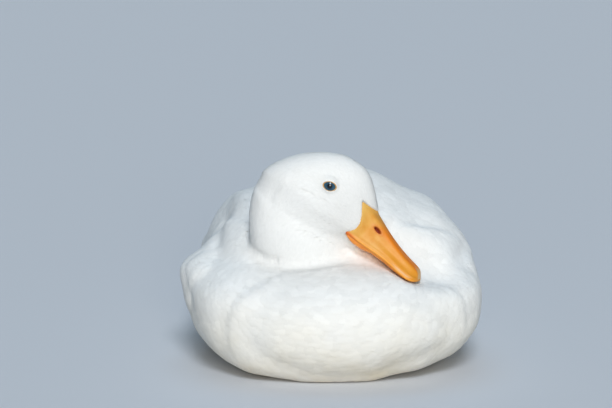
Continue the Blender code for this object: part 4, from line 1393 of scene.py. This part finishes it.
def lay(coat, p, n, f, length, width, lift, dome, sink, templates, wobble=0.12, turn=6.0, tones=1.0):
    """Lays feathers with their roots at p, along f, on the guide."""
    count = len(p)
    if not count:
        return
    ang = np.radians(rng.normal(0, turn, count))
    b = np.cross(n, f)
    f = unit(f * np.cos(ang)[:, None] + b * np.sin(ang)[:, None])
    b = np.cross(n, f)
    length = length * (1 + rng.uniform(-wobble, wobble, count))
    width = width * (1 + rng.uniform(-wobble, wobble, count) * 0.7)
    lift = lift * (1 + rng.uniform(-0.08, 0.08, count))
    bend = rng.normal(0, 0.05, count)
    roll = rng.normal(0, 0.02, count)
    tone = np.clip(rng.normal(0, 0.5, count), -1, 1) * tones
    which = rng.integers(0, len(templates), count)
    for k, (tpl, tris) in enumerate(templates):
        s = np.nonzero(which == k)[0]
        if not len(s):
            continue
        m = len(tpl)
        along = tpl[None, :, 0] * length[s][:, None]
        across = tpl[None, :, 1] * width[s][:, None] / 2 + bend[s][:, None] * length[s][:, None] * tpl[None, :, 0] ** 2
        flat = p[s][:, None] + f[s][:, None] * along[..., None] + b[s][:, None] * across[..., None]
        q, qn = guide.project(flat.reshape(-1, 3))
        q, qn = q.reshape(-1, m, 3), qn.reshape(-1, m, 3)
        high = -sink[s][:, None] + (lift[s] + sink[s])[:, None] * tpl[None, :, 2] - dome[s][:, None] * tpl[None, :, 3] ** 2
        high = high + roll[s][:, None] * tpl[None, :, 1] * width[s][:, None] * 0.5 * tpl[None, :, 0]
        high = np.maximum(high, -sink[s][:, None])
        v = q + qn * high[..., None]
        # leave out the few that fall across a deep fold
        tri_a, tri_b = tris[:, 0], tris[:, 1]
        real = np.linalg.norm(v[:, tri_a] - v[:, tri_b], axis=2)
        meant = np.linalg.norm(flat[:, tri_a] - flat[:, tri_b], axis=2) + 0.35
        good = (real / meant).max(1) < 2.3
        tip = np.linalg.norm(v[:, tpl[:, 0].argmax()] - p[s], axis=1) / length[s]
        good &= tip > 0.62
        v, s2 = v[good], s[good]
        uv = unwrapped(p[s2])[:, None] + np.stack([tpl[:, 1] * PATCH / 2.6, (tpl[:, 0] - 0.5) * PATCH], -1)[None]
        vane = np.stack([across[good] * MM, along[good] * MM], -1)
        coat.add(v, tris, np.clip(uv, 0.001, 0.999), vane, tone[s2])

# ---------------------------------------------------------------- plumage: the tracts

BODY_VANES = [
    vane_template([0, 0.22, 0.45, 0.64, 0.8, 0.92], [-1, -0.55, 0, 0.55, 1], 7, seed=k, barb=0.09 + 0.02 * k, power=0.26, tip_drop=0.085)
    for k in (1, 2, 3)
]
HEAD_TUFTS = [
    vane_template([0, 0.35, 0.7], [-1, 0, 1], 0, narrow=0.5, widest=0.4, tip=1.15, seed=k, power=0.34, tip_drop=0.08) for k in (1,)
]


NECK_TUFTS = [
    vane_template([0, 0.3, 0.55, 0.8], [-1, 0, 1], 0, narrow=0.5, widest=0.45, tip=1.2, seed=k, power=0.3, tip_drop=0.07) for k in (1,)
]


def eye_distance(h):
    """Least value of opening() over both eyes, 1 on the rim of the lids."""
    best = np.full(len(h), 9.0)
    for side in (1, -1):
        c, a, u, v = eye_frame(side)
        q = h - c
        e = opening(q @ u, q @ v)
        best = np.where((q @ a > 0), np.minimum(best, e), best)
    return best


def quilled(p):
    """True where the wings' and the tail's long quills cover the skin."""
    out = np.zeros(len(p), bool)
    for side in (1, -1):
        r, t = wing_ratio(side, p)
        out |= (side * p[:, 0] > 0) & (r < 1.2) & (p[:, 1] > 204 + 16 * np.sin(t)) & (p[:, 1] < 300 + 12 * t) & (t > -1.25) & (t < 1.12)
    out |= (p[:, 1] > 392) & (p[:, 2] > tail_top(np.clip(p[:, 1], 322, 434)) - 3 - 0.003 * p[:, 0] ** 2)
    return out


def plumage():
    mid = guide.co[guide.tri].mean(1)
    ratio, h = head_ratio(mid)
    on_head = ratio < 1.06
    # the head: tiny lancets, smallest round the bill and the eyes
    p, n = guide.scatter(on_head.astype(float), 110000)
    ratio, h = head_ratio(p)
    e = eye_distance(h)
    ahead = ahead_of_line(h)
    ok = ((ahead < -0.15) | (h[:, 0] < -12)) & (e > 1.12)
    p, n, h, e, ahead = p[ok], n[ok], h[ok], e[ok], ahead[ok]
    face = np.clip(step(-34, -2, h[:, 0]) * 0.8 + (1 - step(1.2, 3.0, e)) * 0.75, 0, 1)
    length = 5.4 - 2.9 * face
    length = np.minimum(length, np.maximum(1.3, 1.3 + 0.35 * np.maximum(-ahead, 0)) + 6 * (h[:, 0] < -14))
    length = np.minimum(length, 1.5 + 2.4 * np.maximum(e - 1.1, 0))
    keep = thin(p, 0.16 * length + 0.12, 5)
    p, n, length, face = p[keep], n[keep], length[keep], face[keep]
    coat = Coat("coat_head")
    f = flow(p, n)
    count = len(p)
    lay(coat, p, n, f, length, length * 0.38, 0.66 - 0.26 * face, np.full(count, 0.08), np.full(count, 0.25), HEAD_TUFTS, turn=5, tones=0.6)
    coat.make(VANE_MAT)
    # the neck: longer lancets, hair-like
    p, n = guide.scatter((~on_head).astype(float) * ((neck_ratio(mid) < 1.25) & (mid[:, 2] > 62)), 40000)
    f = flow(p, n)
    keep = thin(p, np.full(len(p), 1.22), 8)
    p, n, f = p[keep], n[keep], f[keep]
    count = len(p)
    coat = Coat("coat_neck")
    lay(coat, p, n, f, np.full(count, 6.8), np.full(count, 2.4), 0.88 - 0.42 * step(1.02, 1.18, neck_ratio(p)), np.full(count, 0.10), np.full(count, 0.4), NECK_TUFTS, turn=4, tones=0.45)
    coat.make(VANE_MAT)
    # neck and body
    p, n = guide.scatter((~on_head).astype(float), 120000)
    nr = neck_ratio(p)
    ok = ~quilled(p) & ((nr > 1.12) | (p[:, 2] < 66))
    p, n = p[ok], n[ok]
    y, z = p[:, 1], p[:, 2]
    nr = neck_ratio(p)
    neck = (1 - step(1.15, 1.7, nr)) * step(56, 76, z)
    length = 11.5 + 4.0 * step(60, 150, y) + 5.0 * step(150, 260, y)
    flank = step(95, 150, y) * (1 - step(300, 345, y)) * (1 - step(52, 74, z)) * step(50, 80, np.abs(p[:, 0]) + 0.2 * y - 10)
    length = length + 7.0 * flank
    scap = step(85, 120, y) * (1 - step(215, 265, y)) * step(14, 34, np.abs(p[:, 0] - 3)) * step(84, 100, z)
    length = length + 9.0 * scap
    length = length + (8.0 - length) * neck
    length = length + 6.0 * step(300, 350, y) * (1 - neck)
    root_top = step(334, 350, y) * (1 - step(392, 404, y)) * step(56, 68, z)
    length = length + (9.5 - length) * root_top
    radius = 0.25 * length
    keep = thin(p, radius, 6)
    p, n, length, neck, flank, scap = p[keep], n[keep], length[keep], neck[keep], flank[keep], scap[keep]
    width = length * (0.80 - 0.22 * scap - 0.1 * flank)
    cover = np.zeros(len(p))
    for side in (1, -1):
        r, t = wing_ratio(side, p)
        cover = np.maximum(cover, (side * p[:, 0] > 0) * (1 - step(1.1, 1.3, r)) * step(135, 195, p[:, 1]) * (1 - step(235, 260, p[:, 1])) * (1 - step(1.1, 1.4, np.abs(t))))
    length = length + (26.0 - length) * cover * 0.8
    width = width + (length * 0.52 - width) * cover
    lift = 1.20 + 0.20 * flank + 0.10 * scap - 0.25 * neck - 0.25 * step(300, 350, p[:, 1])
    order = np.argsort(p[:, 1])
    size = 2600
    f = flow(p, n)
    for k, at in enumerate(range(0, len(order), size)):
        s = order[at : at + size]
        coat = Coat(f"coat_body_{k + 1}")
        lay(coat, p[s], n[s], f[s], length[s], width[s], lift[s], 0.08 + 0.004 * length[s], np.full(len(s), 0.5), BODY_VANES)
        coat.make(VANE_MAT)


plumage()

# ---------------------------------------------------------------- quills of the wings and the tail


def quill_template(stations, columns, barbs, seed, narrow, widest, tip, outer=1.0):
    """As vane_template, with a raised shaft down the middle; outer < 1 narrows the vane's -1 side."""
    pts, tris = vane_template(np.linspace(0, 0.97, stations), columns, barbs, narrow, widest, tip, seed, barb=0.010, power=1.0, tip_drop=0.0)
    shaft = np.clip(1 - np.abs(pts[:, 1]) / 0.05, 0, 1) * (1 - 0.8 * pts[:, 0])
    pts[:, 1] = np.where(pts[:, 1] < 0, pts[:, 1] * outer, pts[:, 1])
    return np.column_stack([pts, shaft]), tris


QUILL_COLUMNS = [-1, -0.72, -0.4, -0.045, 0, 0.045, 0.4, 0.72, 1]
PRIMARY = quill_template(20, QUILL_COLUMNS, 26, 11, 0.35, 0.45, 2.2, 0.55)
SECONDARY = quill_template(16, QUILL_COLUMNS, 22, 12, 0.4, 0.55, 2.4)
TERTIAL = quill_template(18, QUILL_COLUMNS, 24, 15, 0.4, 0.5, 1.9)
RECTRIX = quill_template(18, QUILL_COLUMNS, 22, 14, 0.4, 0.7, 2.6)


def quill(coat, place, width, length, rise, tilt, dome, template, tone, flip=False, seat=True, cap=9.0, lean=0.0):
    """One quill. place(t, s) gives the points and normals at t of its length and s mm across; heights run from the root to rise."""
    tpl, tris = template
    t = tpl[:, 0]
    base, n = place(t, tpl[:, 1] * width / 2)
    grown = step(0.0, 0.55, t)
    high = -1.9 + (rise + 1.9) * grown + (0.3 * tpl[:, 4] - dome * tpl[:, 1] ** 2 + tilt * tpl[:, 1]) * grown - 0.45 * step(0.8, 1.0, t)
    high = high - abs(lean) * np.clip(np.sign(lean) * tpl[:, 1], 0, 1) ** 1.5 * grown
    p = base + n * high[:, None]
    if seat:
        q, qn = guide.project(p)
        d = ((p - q) * qn).sum(1)
        short = np.maximum(0.45 - d, 0) * step(0.1, 0.35, t) * (d > -6)
        p = p + qn * (short - np.maximum(d - cap, 0) * step(0.2, 0.5, t) * (d < 9))[:, None]
    root, _ = place(np.array([0.35]), np.zeros(1))
    uv = unwrapped(root)[:, None] + np.stack([tpl[:, 1] * PATCH / 2.6, (tpl[:, 0] - 0.5) * PATCH], -1)[None]
    vane = np.stack([tpl[:, 1] * width / 2 * MM, tpl[:, 0] * length * MM], -1)[None]
    coat.add(p[None], tris[:, ::-1] if flip else tris, np.clip(uv, 0.001, 0.999), vane, np.array([tone]))


_ay = np.linspace(70, 352, 80)
_aa = np.linspace(-2.9, 2.9, 240)


def arc_table(side):
    """Length round the wing's section from its outermost point, for each y and angle."""
    pts = wing_at(side, _ay[:, None], _aa[None])
    run = np.concatenate([np.zeros((len(_ay), 1)), np.cumsum(np.linalg.norm(np.diff(pts, axis=1), axis=2), axis=1)], 1)
    return run - run[:, 120:121]


def wing_row(coat, side, count, y0, y1, t0, t1, width, rise, tilt, dome, template):
    """A row of quills on the folded wing: root y, tip y, root angle and tip angle each run from first to last."""
    table = ARCS[side]
    for i in range(count):
        k = i / max(count - 1, 1)
        r = rng.uniform(-1, 1, 4)
        ya, yb = y0[0] + (y0[1] - y0[0]) * k + r[0] * 2, y1[0] + (y1[1] - y1[0]) * k + r[1] * 2.0
        ta, tb = t0[0] + (t0[1] - t0[0]) * k, t1[0] + (t1[1] - t1[0]) * k + r[2] * 0.015

        def surface(y, a):
            inside = wing_at(side, np.minimum(y, 352), a)
            ahead = wing_at(side, np.full_like(y, 352.0), a) - wing_at(side, np.full_like(y, 342.0), a)
            return inside + ahead * (np.maximum(y - 352, 0) / 10)[:, None]

        def place(t, s):
            y = ya + (yb - ya) * t
            a = ta + (tb - ta) * step(0, 1, t)
            row = np.clip((np.minimum(y, 352) - 70) / (352 - 70) * 79, 0, 78.999)
            r0 = row.astype(int)
            f = row - r0
            angle = np.empty(len(t))
            for j in range(len(t)):
                arc = table[r0[j]] * (1 - f[j]) + table[r0[j] + 1] * f[j]
                angle[j] = np.interp(np.interp(a[j], _aa, arc) + s[j], arc, _aa)
            p = surface(y, angle)
            across = surface(y, angle + 0.03) - surface(y, angle - 0.03)
            along = surface(y + 1.0, angle) - surface(y - 1.0, angle)
            return p, unit(np.cross(along, across)) * side

        quill(coat, place, width * (1 + 0.04 * r[3]), yb - ya, rise, -tilt, dome, template, float(rng.normal(0, 0.4)), flip=side > 0)


def primaries(coat, side):
    """The longest quills: they come out from under the rest and lie over the rump, the innermost on top."""
    count = 7
    for i in range(count):
        k = i / (count - 1)
        r = rng.uniform(-1, 1, 3)
        root = wing_at(side, 272.0, -0.2 + 0.95 * k)
        tip = np.array([side * (29.0 - 12.0 * k), 345.0 + 23.0 * k + r[0], 94.0 - 4.0 * k])
        tip = guide.project(tip[None])[0][0]
        tt = np.linspace(0, 1, 30)
        line = root + (tip - root) * tt[:, None]
        q, qn = guide.project(line)
        for _ in range(30):
            q[1:-1] = 0.5 * q[1:-1] + 0.25 * (q[2:] + q[:-2])
            qn[1:-1] = unit(0.5 * qn[1:-1] + 0.25 * (qn[2:] + qn[:-2]))
        f = unit(np.gradient(q, axis=0))
        b = unit(np.cross(f, qn))
        size = float(np.linalg.norm(tip - root))

        def place(t, s, q=q, qn=qn, f=f, b=b, size=size):
            t = np.asarray(t, float)
            pick = lambda table: np.stack([np.interp(t, tt, table[:, m]) for m in range(3)], -1)
            beyond = (np.maximum(t - 1, 0) * size)[:, None]
            return pick(q) + pick(f) * beyond + pick(b) * np.asarray(s)[:, None], unit(pick(qn))

        quill(coat, place, 10.5, size, 1.15 + 0.14 * i, 0.25 * side, 0.35, PRIMARY, float(rng.normal(0, 0.4)), flip=False, cap=1.65 + 0.14 * i, lean=-2.0 * side if i == count - 1 else 0.0)


ARCS = {side: arc_table(side) for side in (1, -1)}
for side, word in ((1, "left"), (-1, "right")):
    coat = Coat("coat_wing_" + word)
    primaries(coat, side)
    wing_row(coat, side, 13, (182, 196), (262, 306), (-1.40, 0.35), (-1.32, 0.42), 21, -1.0, 0.38, 0.35, SECONDARY)
    wing_row(coat, side, 6, (186, 198), (292, 334), (0.38, 1.16), (0.44, 1.02), 20, -0.8, 0.42, 0.4, TERTIAL)
    coat.make(VANE_MAT)


def tail_fan():
    coat = Coat("coat_tail")
    n = 18
    order = sorted(range(n), key=lambda i: -abs(i - (n - 1) / 2))
    for rank, i in enumerate(order):
        u = (i - (n - 1) / 2) / ((n - 1) / 2)
        r = rng.uniform(-1, 1, 3)
        tip = np.array([34.0 * u, 433.0 - 27 * abs(u) ** 2.2 + r[0] * 1.2, 80.2 - 2.8 * abs(u) ** 2])
        root = np.array([16.0 * u, 336.0, 80.3 - 2.0 * u * u])
        f = unit(tip - root)
        b = unit(np.cross(f, [0.16 * u, 0, 1.0]))
        up = np.cross(b, f)

        def place(t, s, tip=tip, root=root, f=f, b=b, up=up, r=r):
            t, s = np.asarray(t)[:, None], np.asarray(s)[:, None]
            arch = 2.2 * np.sin(np.pi * np.clip(t, 0, 1.05) * 0.95) - 0.004 * s**2
            p = root + (tip - root) * t + b * (s + 1.4 * r[1] * t**2) + up * arch
            return p, np.repeat(up[None], len(t), 0)

        quill(coat, place, 19.5, 98.0, 0.05 * rank, 0.4 * np.sign(u), 0.35, RECTRIX, float(rng.normal(0, 0.4)), flip=False, seat=False)
    coat.make(VANE_MAT)


tail_fan()

# ---------------------------------------------------------------- the folded legs

LEG_X, ANKLE_Y = 47.0, 168.0
TOES = [(-24.0, -47.0), (0.0, -64.0), (23.0, -55.0)]


def foot(side, name):
    """Shank, ankle, three webbed toes and the hind toe, laid flat under the belly; joined, then softened together."""
    ang = np.linspace(0, 2 * np.pi, 28, endpoint=False)

    def tube(points, radii, squash=1.0, count=26):
        points, radii = np.array(points, float), np.array(radii, float)
        k = np.linspace(0, 1, len(points))
        kk = np.linspace(0, 1, count)
        line = np.stack([smooth_curve(k, points[:, i])(kk) for i in range(3)], -1)
        rad = smooth_curve(k, radii)(kk)
        d = unit(np.gradient(line, axis=0))
        across = unit(np.cross(d, [0, 0, 1.0]))
        up = np.cross(across, d)
        rings = [line[i] + rad[i] * (np.cos(ang)[:, None] * across[i] + squash * np.sin(ang)[:, None] * up[i]) for i in range(count)]
        ends = [[line[0]] * len(ang), [line[-1]] * len(ang)]
        start = [line[0] + 0.5 * (rings[0] - line[0]) - d[0] * rad[0] * 0.45]
        stop = [line[-1] + 0.5 * (rings[-1] - line[-1]) + d[-1] * rad[-1] * 0.45]
        return loft("tube", start + rings + stop)

    def at(x, y, z):
        return (side * (LEG_X + x), ANKLE_Y + y, z)

    pieces = [
        tube([at(0, 70, 11), at(0, 63, 10.6), at(0, 46, 9), at(0, 24, 7.2), at(0, 4, 5), at(0, -8, 3.6)], [3.5, 6.4, 5.6, 4.9, 5.0, 4.2], 0.9),
    ]
    for x, y in TOES:
        knots = [(0, 4.6), (0.2, 3.5), (0.36, 3.9), (0.52, 3.0), (0.68, 3.4), (0.84, 2.4), (0.97, 2.3)]
        pieces.append(tube([at(x * k, -2 + (y + 2) * k, 2.4) for k, _ in knots], [r for _, r in knots], 0.7))
        pieces.append(tube([at(x * 0.94, y * 0.95, 2.6), at(x * 1.0, y * 1.01, 2.3), at(x * 1.03, y + (-3.2), 1.5)], [1.9, 1.4, 0.5], 0.85, 12))
    pieces.append(tube([at(-6, 6, 4.4), at(-9, 8, 3.6), at(-12.5, 9, 2.4)], [2.6, 2.0, 1.0], 0.8, 12))
    # the web: a thin sheet between the toes with scalloped front edges
    rows, cols = 22, 40
    top, low = [], []
    for i in range(rows):
        k = i / (rows - 1)
        row_t, row_b = [], []
        for j in range(cols):
            u = j / (cols - 1) * 2
            a, b, f = (TOES[0], TOES[1], u) if u <= 1 else (TOES[1], TOES[2], u - 1)
            edge = np.array(a) * (1 - f) + np.array(b) * f
            reach = 0.93 - 0.20 * (4 * f * (1 - f)) ** 0.8
            x, y = edge * (0.1 + (reach - 0.1) * k)
            z = 1.9 - 0.5 * (4 * f * (1 - f)) + 0.15 * math.sin(9 * k + 4 * u)
            row_t.append(at(x, y, z + 0.75))
            row_b.append(at(x, y, z - 0.75))
        top.append(row_t)
        low.append(row_b)
    t, b = np.array(top).reshape(-1, 3), np.array(low).reshape(-1, 3)
    n = rows * cols
    faces = []
    for i in range(rows - 1):
        for j in range(cols - 1):
            q = [i * cols + j, i * cols + j + 1, (i + 1) * cols + j + 1, (i + 1) * cols + j]
            faces.append(q)
            faces.append([v + n for v in reversed(q)])
    border = [j for j in range(cols)] + [i * cols + cols - 1 for i in range(1, rows)] + [(rows - 1) * cols + j for j in range(cols - 2, -1, -1)] + [i * cols for i in range(rows - 2, 0, -1)]
    for k in range(len(border)):
        p, q = border[k], border[(k + 1) % len(border)]
        faces.append([q, p, p + n, q + n])
    pieces.append(new_mesh("web", np.concatenate([t, b]), faces))
    ob = joined(pieces, name)
    voxel(ob, 0.62, 3)
    me = ob.data
    bm = bmesh.new()
    bm.from_mesh(me)
    bmesh.ops.recalc_face_normals(bm, faces=bm.faces[:])
    bmesh.ops.triangulate(bm, faces=bm.faces[:])
    bm.to_mesh(me)
    bm.free()
    co, no = mesh_arrays(me)
    q = co.copy()
    q[:, 0] = side * co[:, 0] - LEG_X
    q[:, 1] -= ANKLE_Y
    # scutes on the shank and toes, and the fine net of the web
    plates = np.zeros(len(co))
    for x, y in TOES:
        d = np.array([x, y]) / math.hypot(x, y)
        s = q[:, :2] @ d
        off = np.abs(q[:, 0] * d[1] - q[:, 1] * d[0])
        on = (1 - step(2.4, 4.2, off)) * step(2, 6, s) * (no[:, 2] > 0.1)
        plates = np.maximum(plates, on * (0.5 + 0.5 * np.cos(2 * np.pi * s / 2.6)) ** 0.5)
    shank = step(-2, 4, q[:, 1]) * (np.abs(q[:, 0]) < 7) * step(-0.3, 0.4, no[:, 2] - 0.2 * np.abs(no[:, 0]))
    plates = plates * (1 - shank) + shank * (0.5 + 0.5 * np.cos(2 * np.pi * q[:, 1] / 3.1)) ** 0.5
    co = co + no * ((plates - 0.5) * 0.28)[:, None]
    co[:, 2] = np.maximum(co[:, 2], 0.0)
    set_co(me, co)
    masks(me, plate=plates)
    me.shade_smooth()
    return ob


def foot_material():
    m, nt, p = shader("foot_skin", (0.80, 0.30, 0.06), 0.5)
    p.inputs["Specular IOR Level"].default_value = 0.4
    coords = nt.nodes.new("ShaderNodeTexCoord")
    blot = nt.nodes.new("ShaderNodeTexNoise")
    blot.inputs["Scale"].default_value = 90
    blot.inputs["Detail"].default_value = 5
    link(nt, coords.outputs["Object"], blot.inputs["Vector"])
    ramp = nt.nodes.new("ShaderNodeValToRGB")
    ramp.color_ramp.elements[0].position, ramp.color_ramp.elements[0].color = 0.3, (0.66, 0.19, 0.035, 1)
    ramp.color_ramp.elements[1].position, ramp.color_ramp.elements[1].color = 0.75, (0.86, 0.37, 0.08, 1)
    link(nt, blot.outputs["Fac"], ramp.inputs["Fac"])
    plate = nt.nodes.new("ShaderNodeAttribute")
    plate.attribute_name = "plate"
    mix = nt.nodes.new("ShaderNodeMixRGB")
    mix.inputs["Color2"].default_value = (0.90, 0.44, 0.12, 1)
    soft = nt.nodes.new("ShaderNodeMath")
    soft.operation = "MULTIPLY"
    soft.inputs[1].default_value = 0.4
    link(nt, plate.outputs["Fac"], soft.inputs[0])
    link(nt, soft.outputs[0], mix.inputs["Fac"])
    link(nt, ramp.outputs["Color"], mix.inputs["Color1"])
    link(nt, mix.outputs["Color"], p.inputs["Base Color"])
    net = nt.nodes.new("ShaderNodeTexVoronoi")
    net.inputs["Scale"].default_value = 900
    link(nt, coords.outputs["Object"], net.inputs["Vector"])
    bump = nt.nodes.new("ShaderNodeBump")
    bump.inputs["Strength"].default_value = 0.5
    bump.inputs["Distance"].default_value = 0.0003
    link(nt, net.outputs["Distance"], bump.inputs["Height"])
    link(nt, bump.outputs["Normal"], p.inputs["Normal"])
    return m


FOOT_MAT = foot_material()
for side, word in ((1, "left"), (-1, "right")):
    ob = foot(side, "foot_" + word)
    ob.data.materials.clear()
    ob.data.materials.append(FOOT_MAT)
    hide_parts("leg_" + word)
    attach(ob, "root")
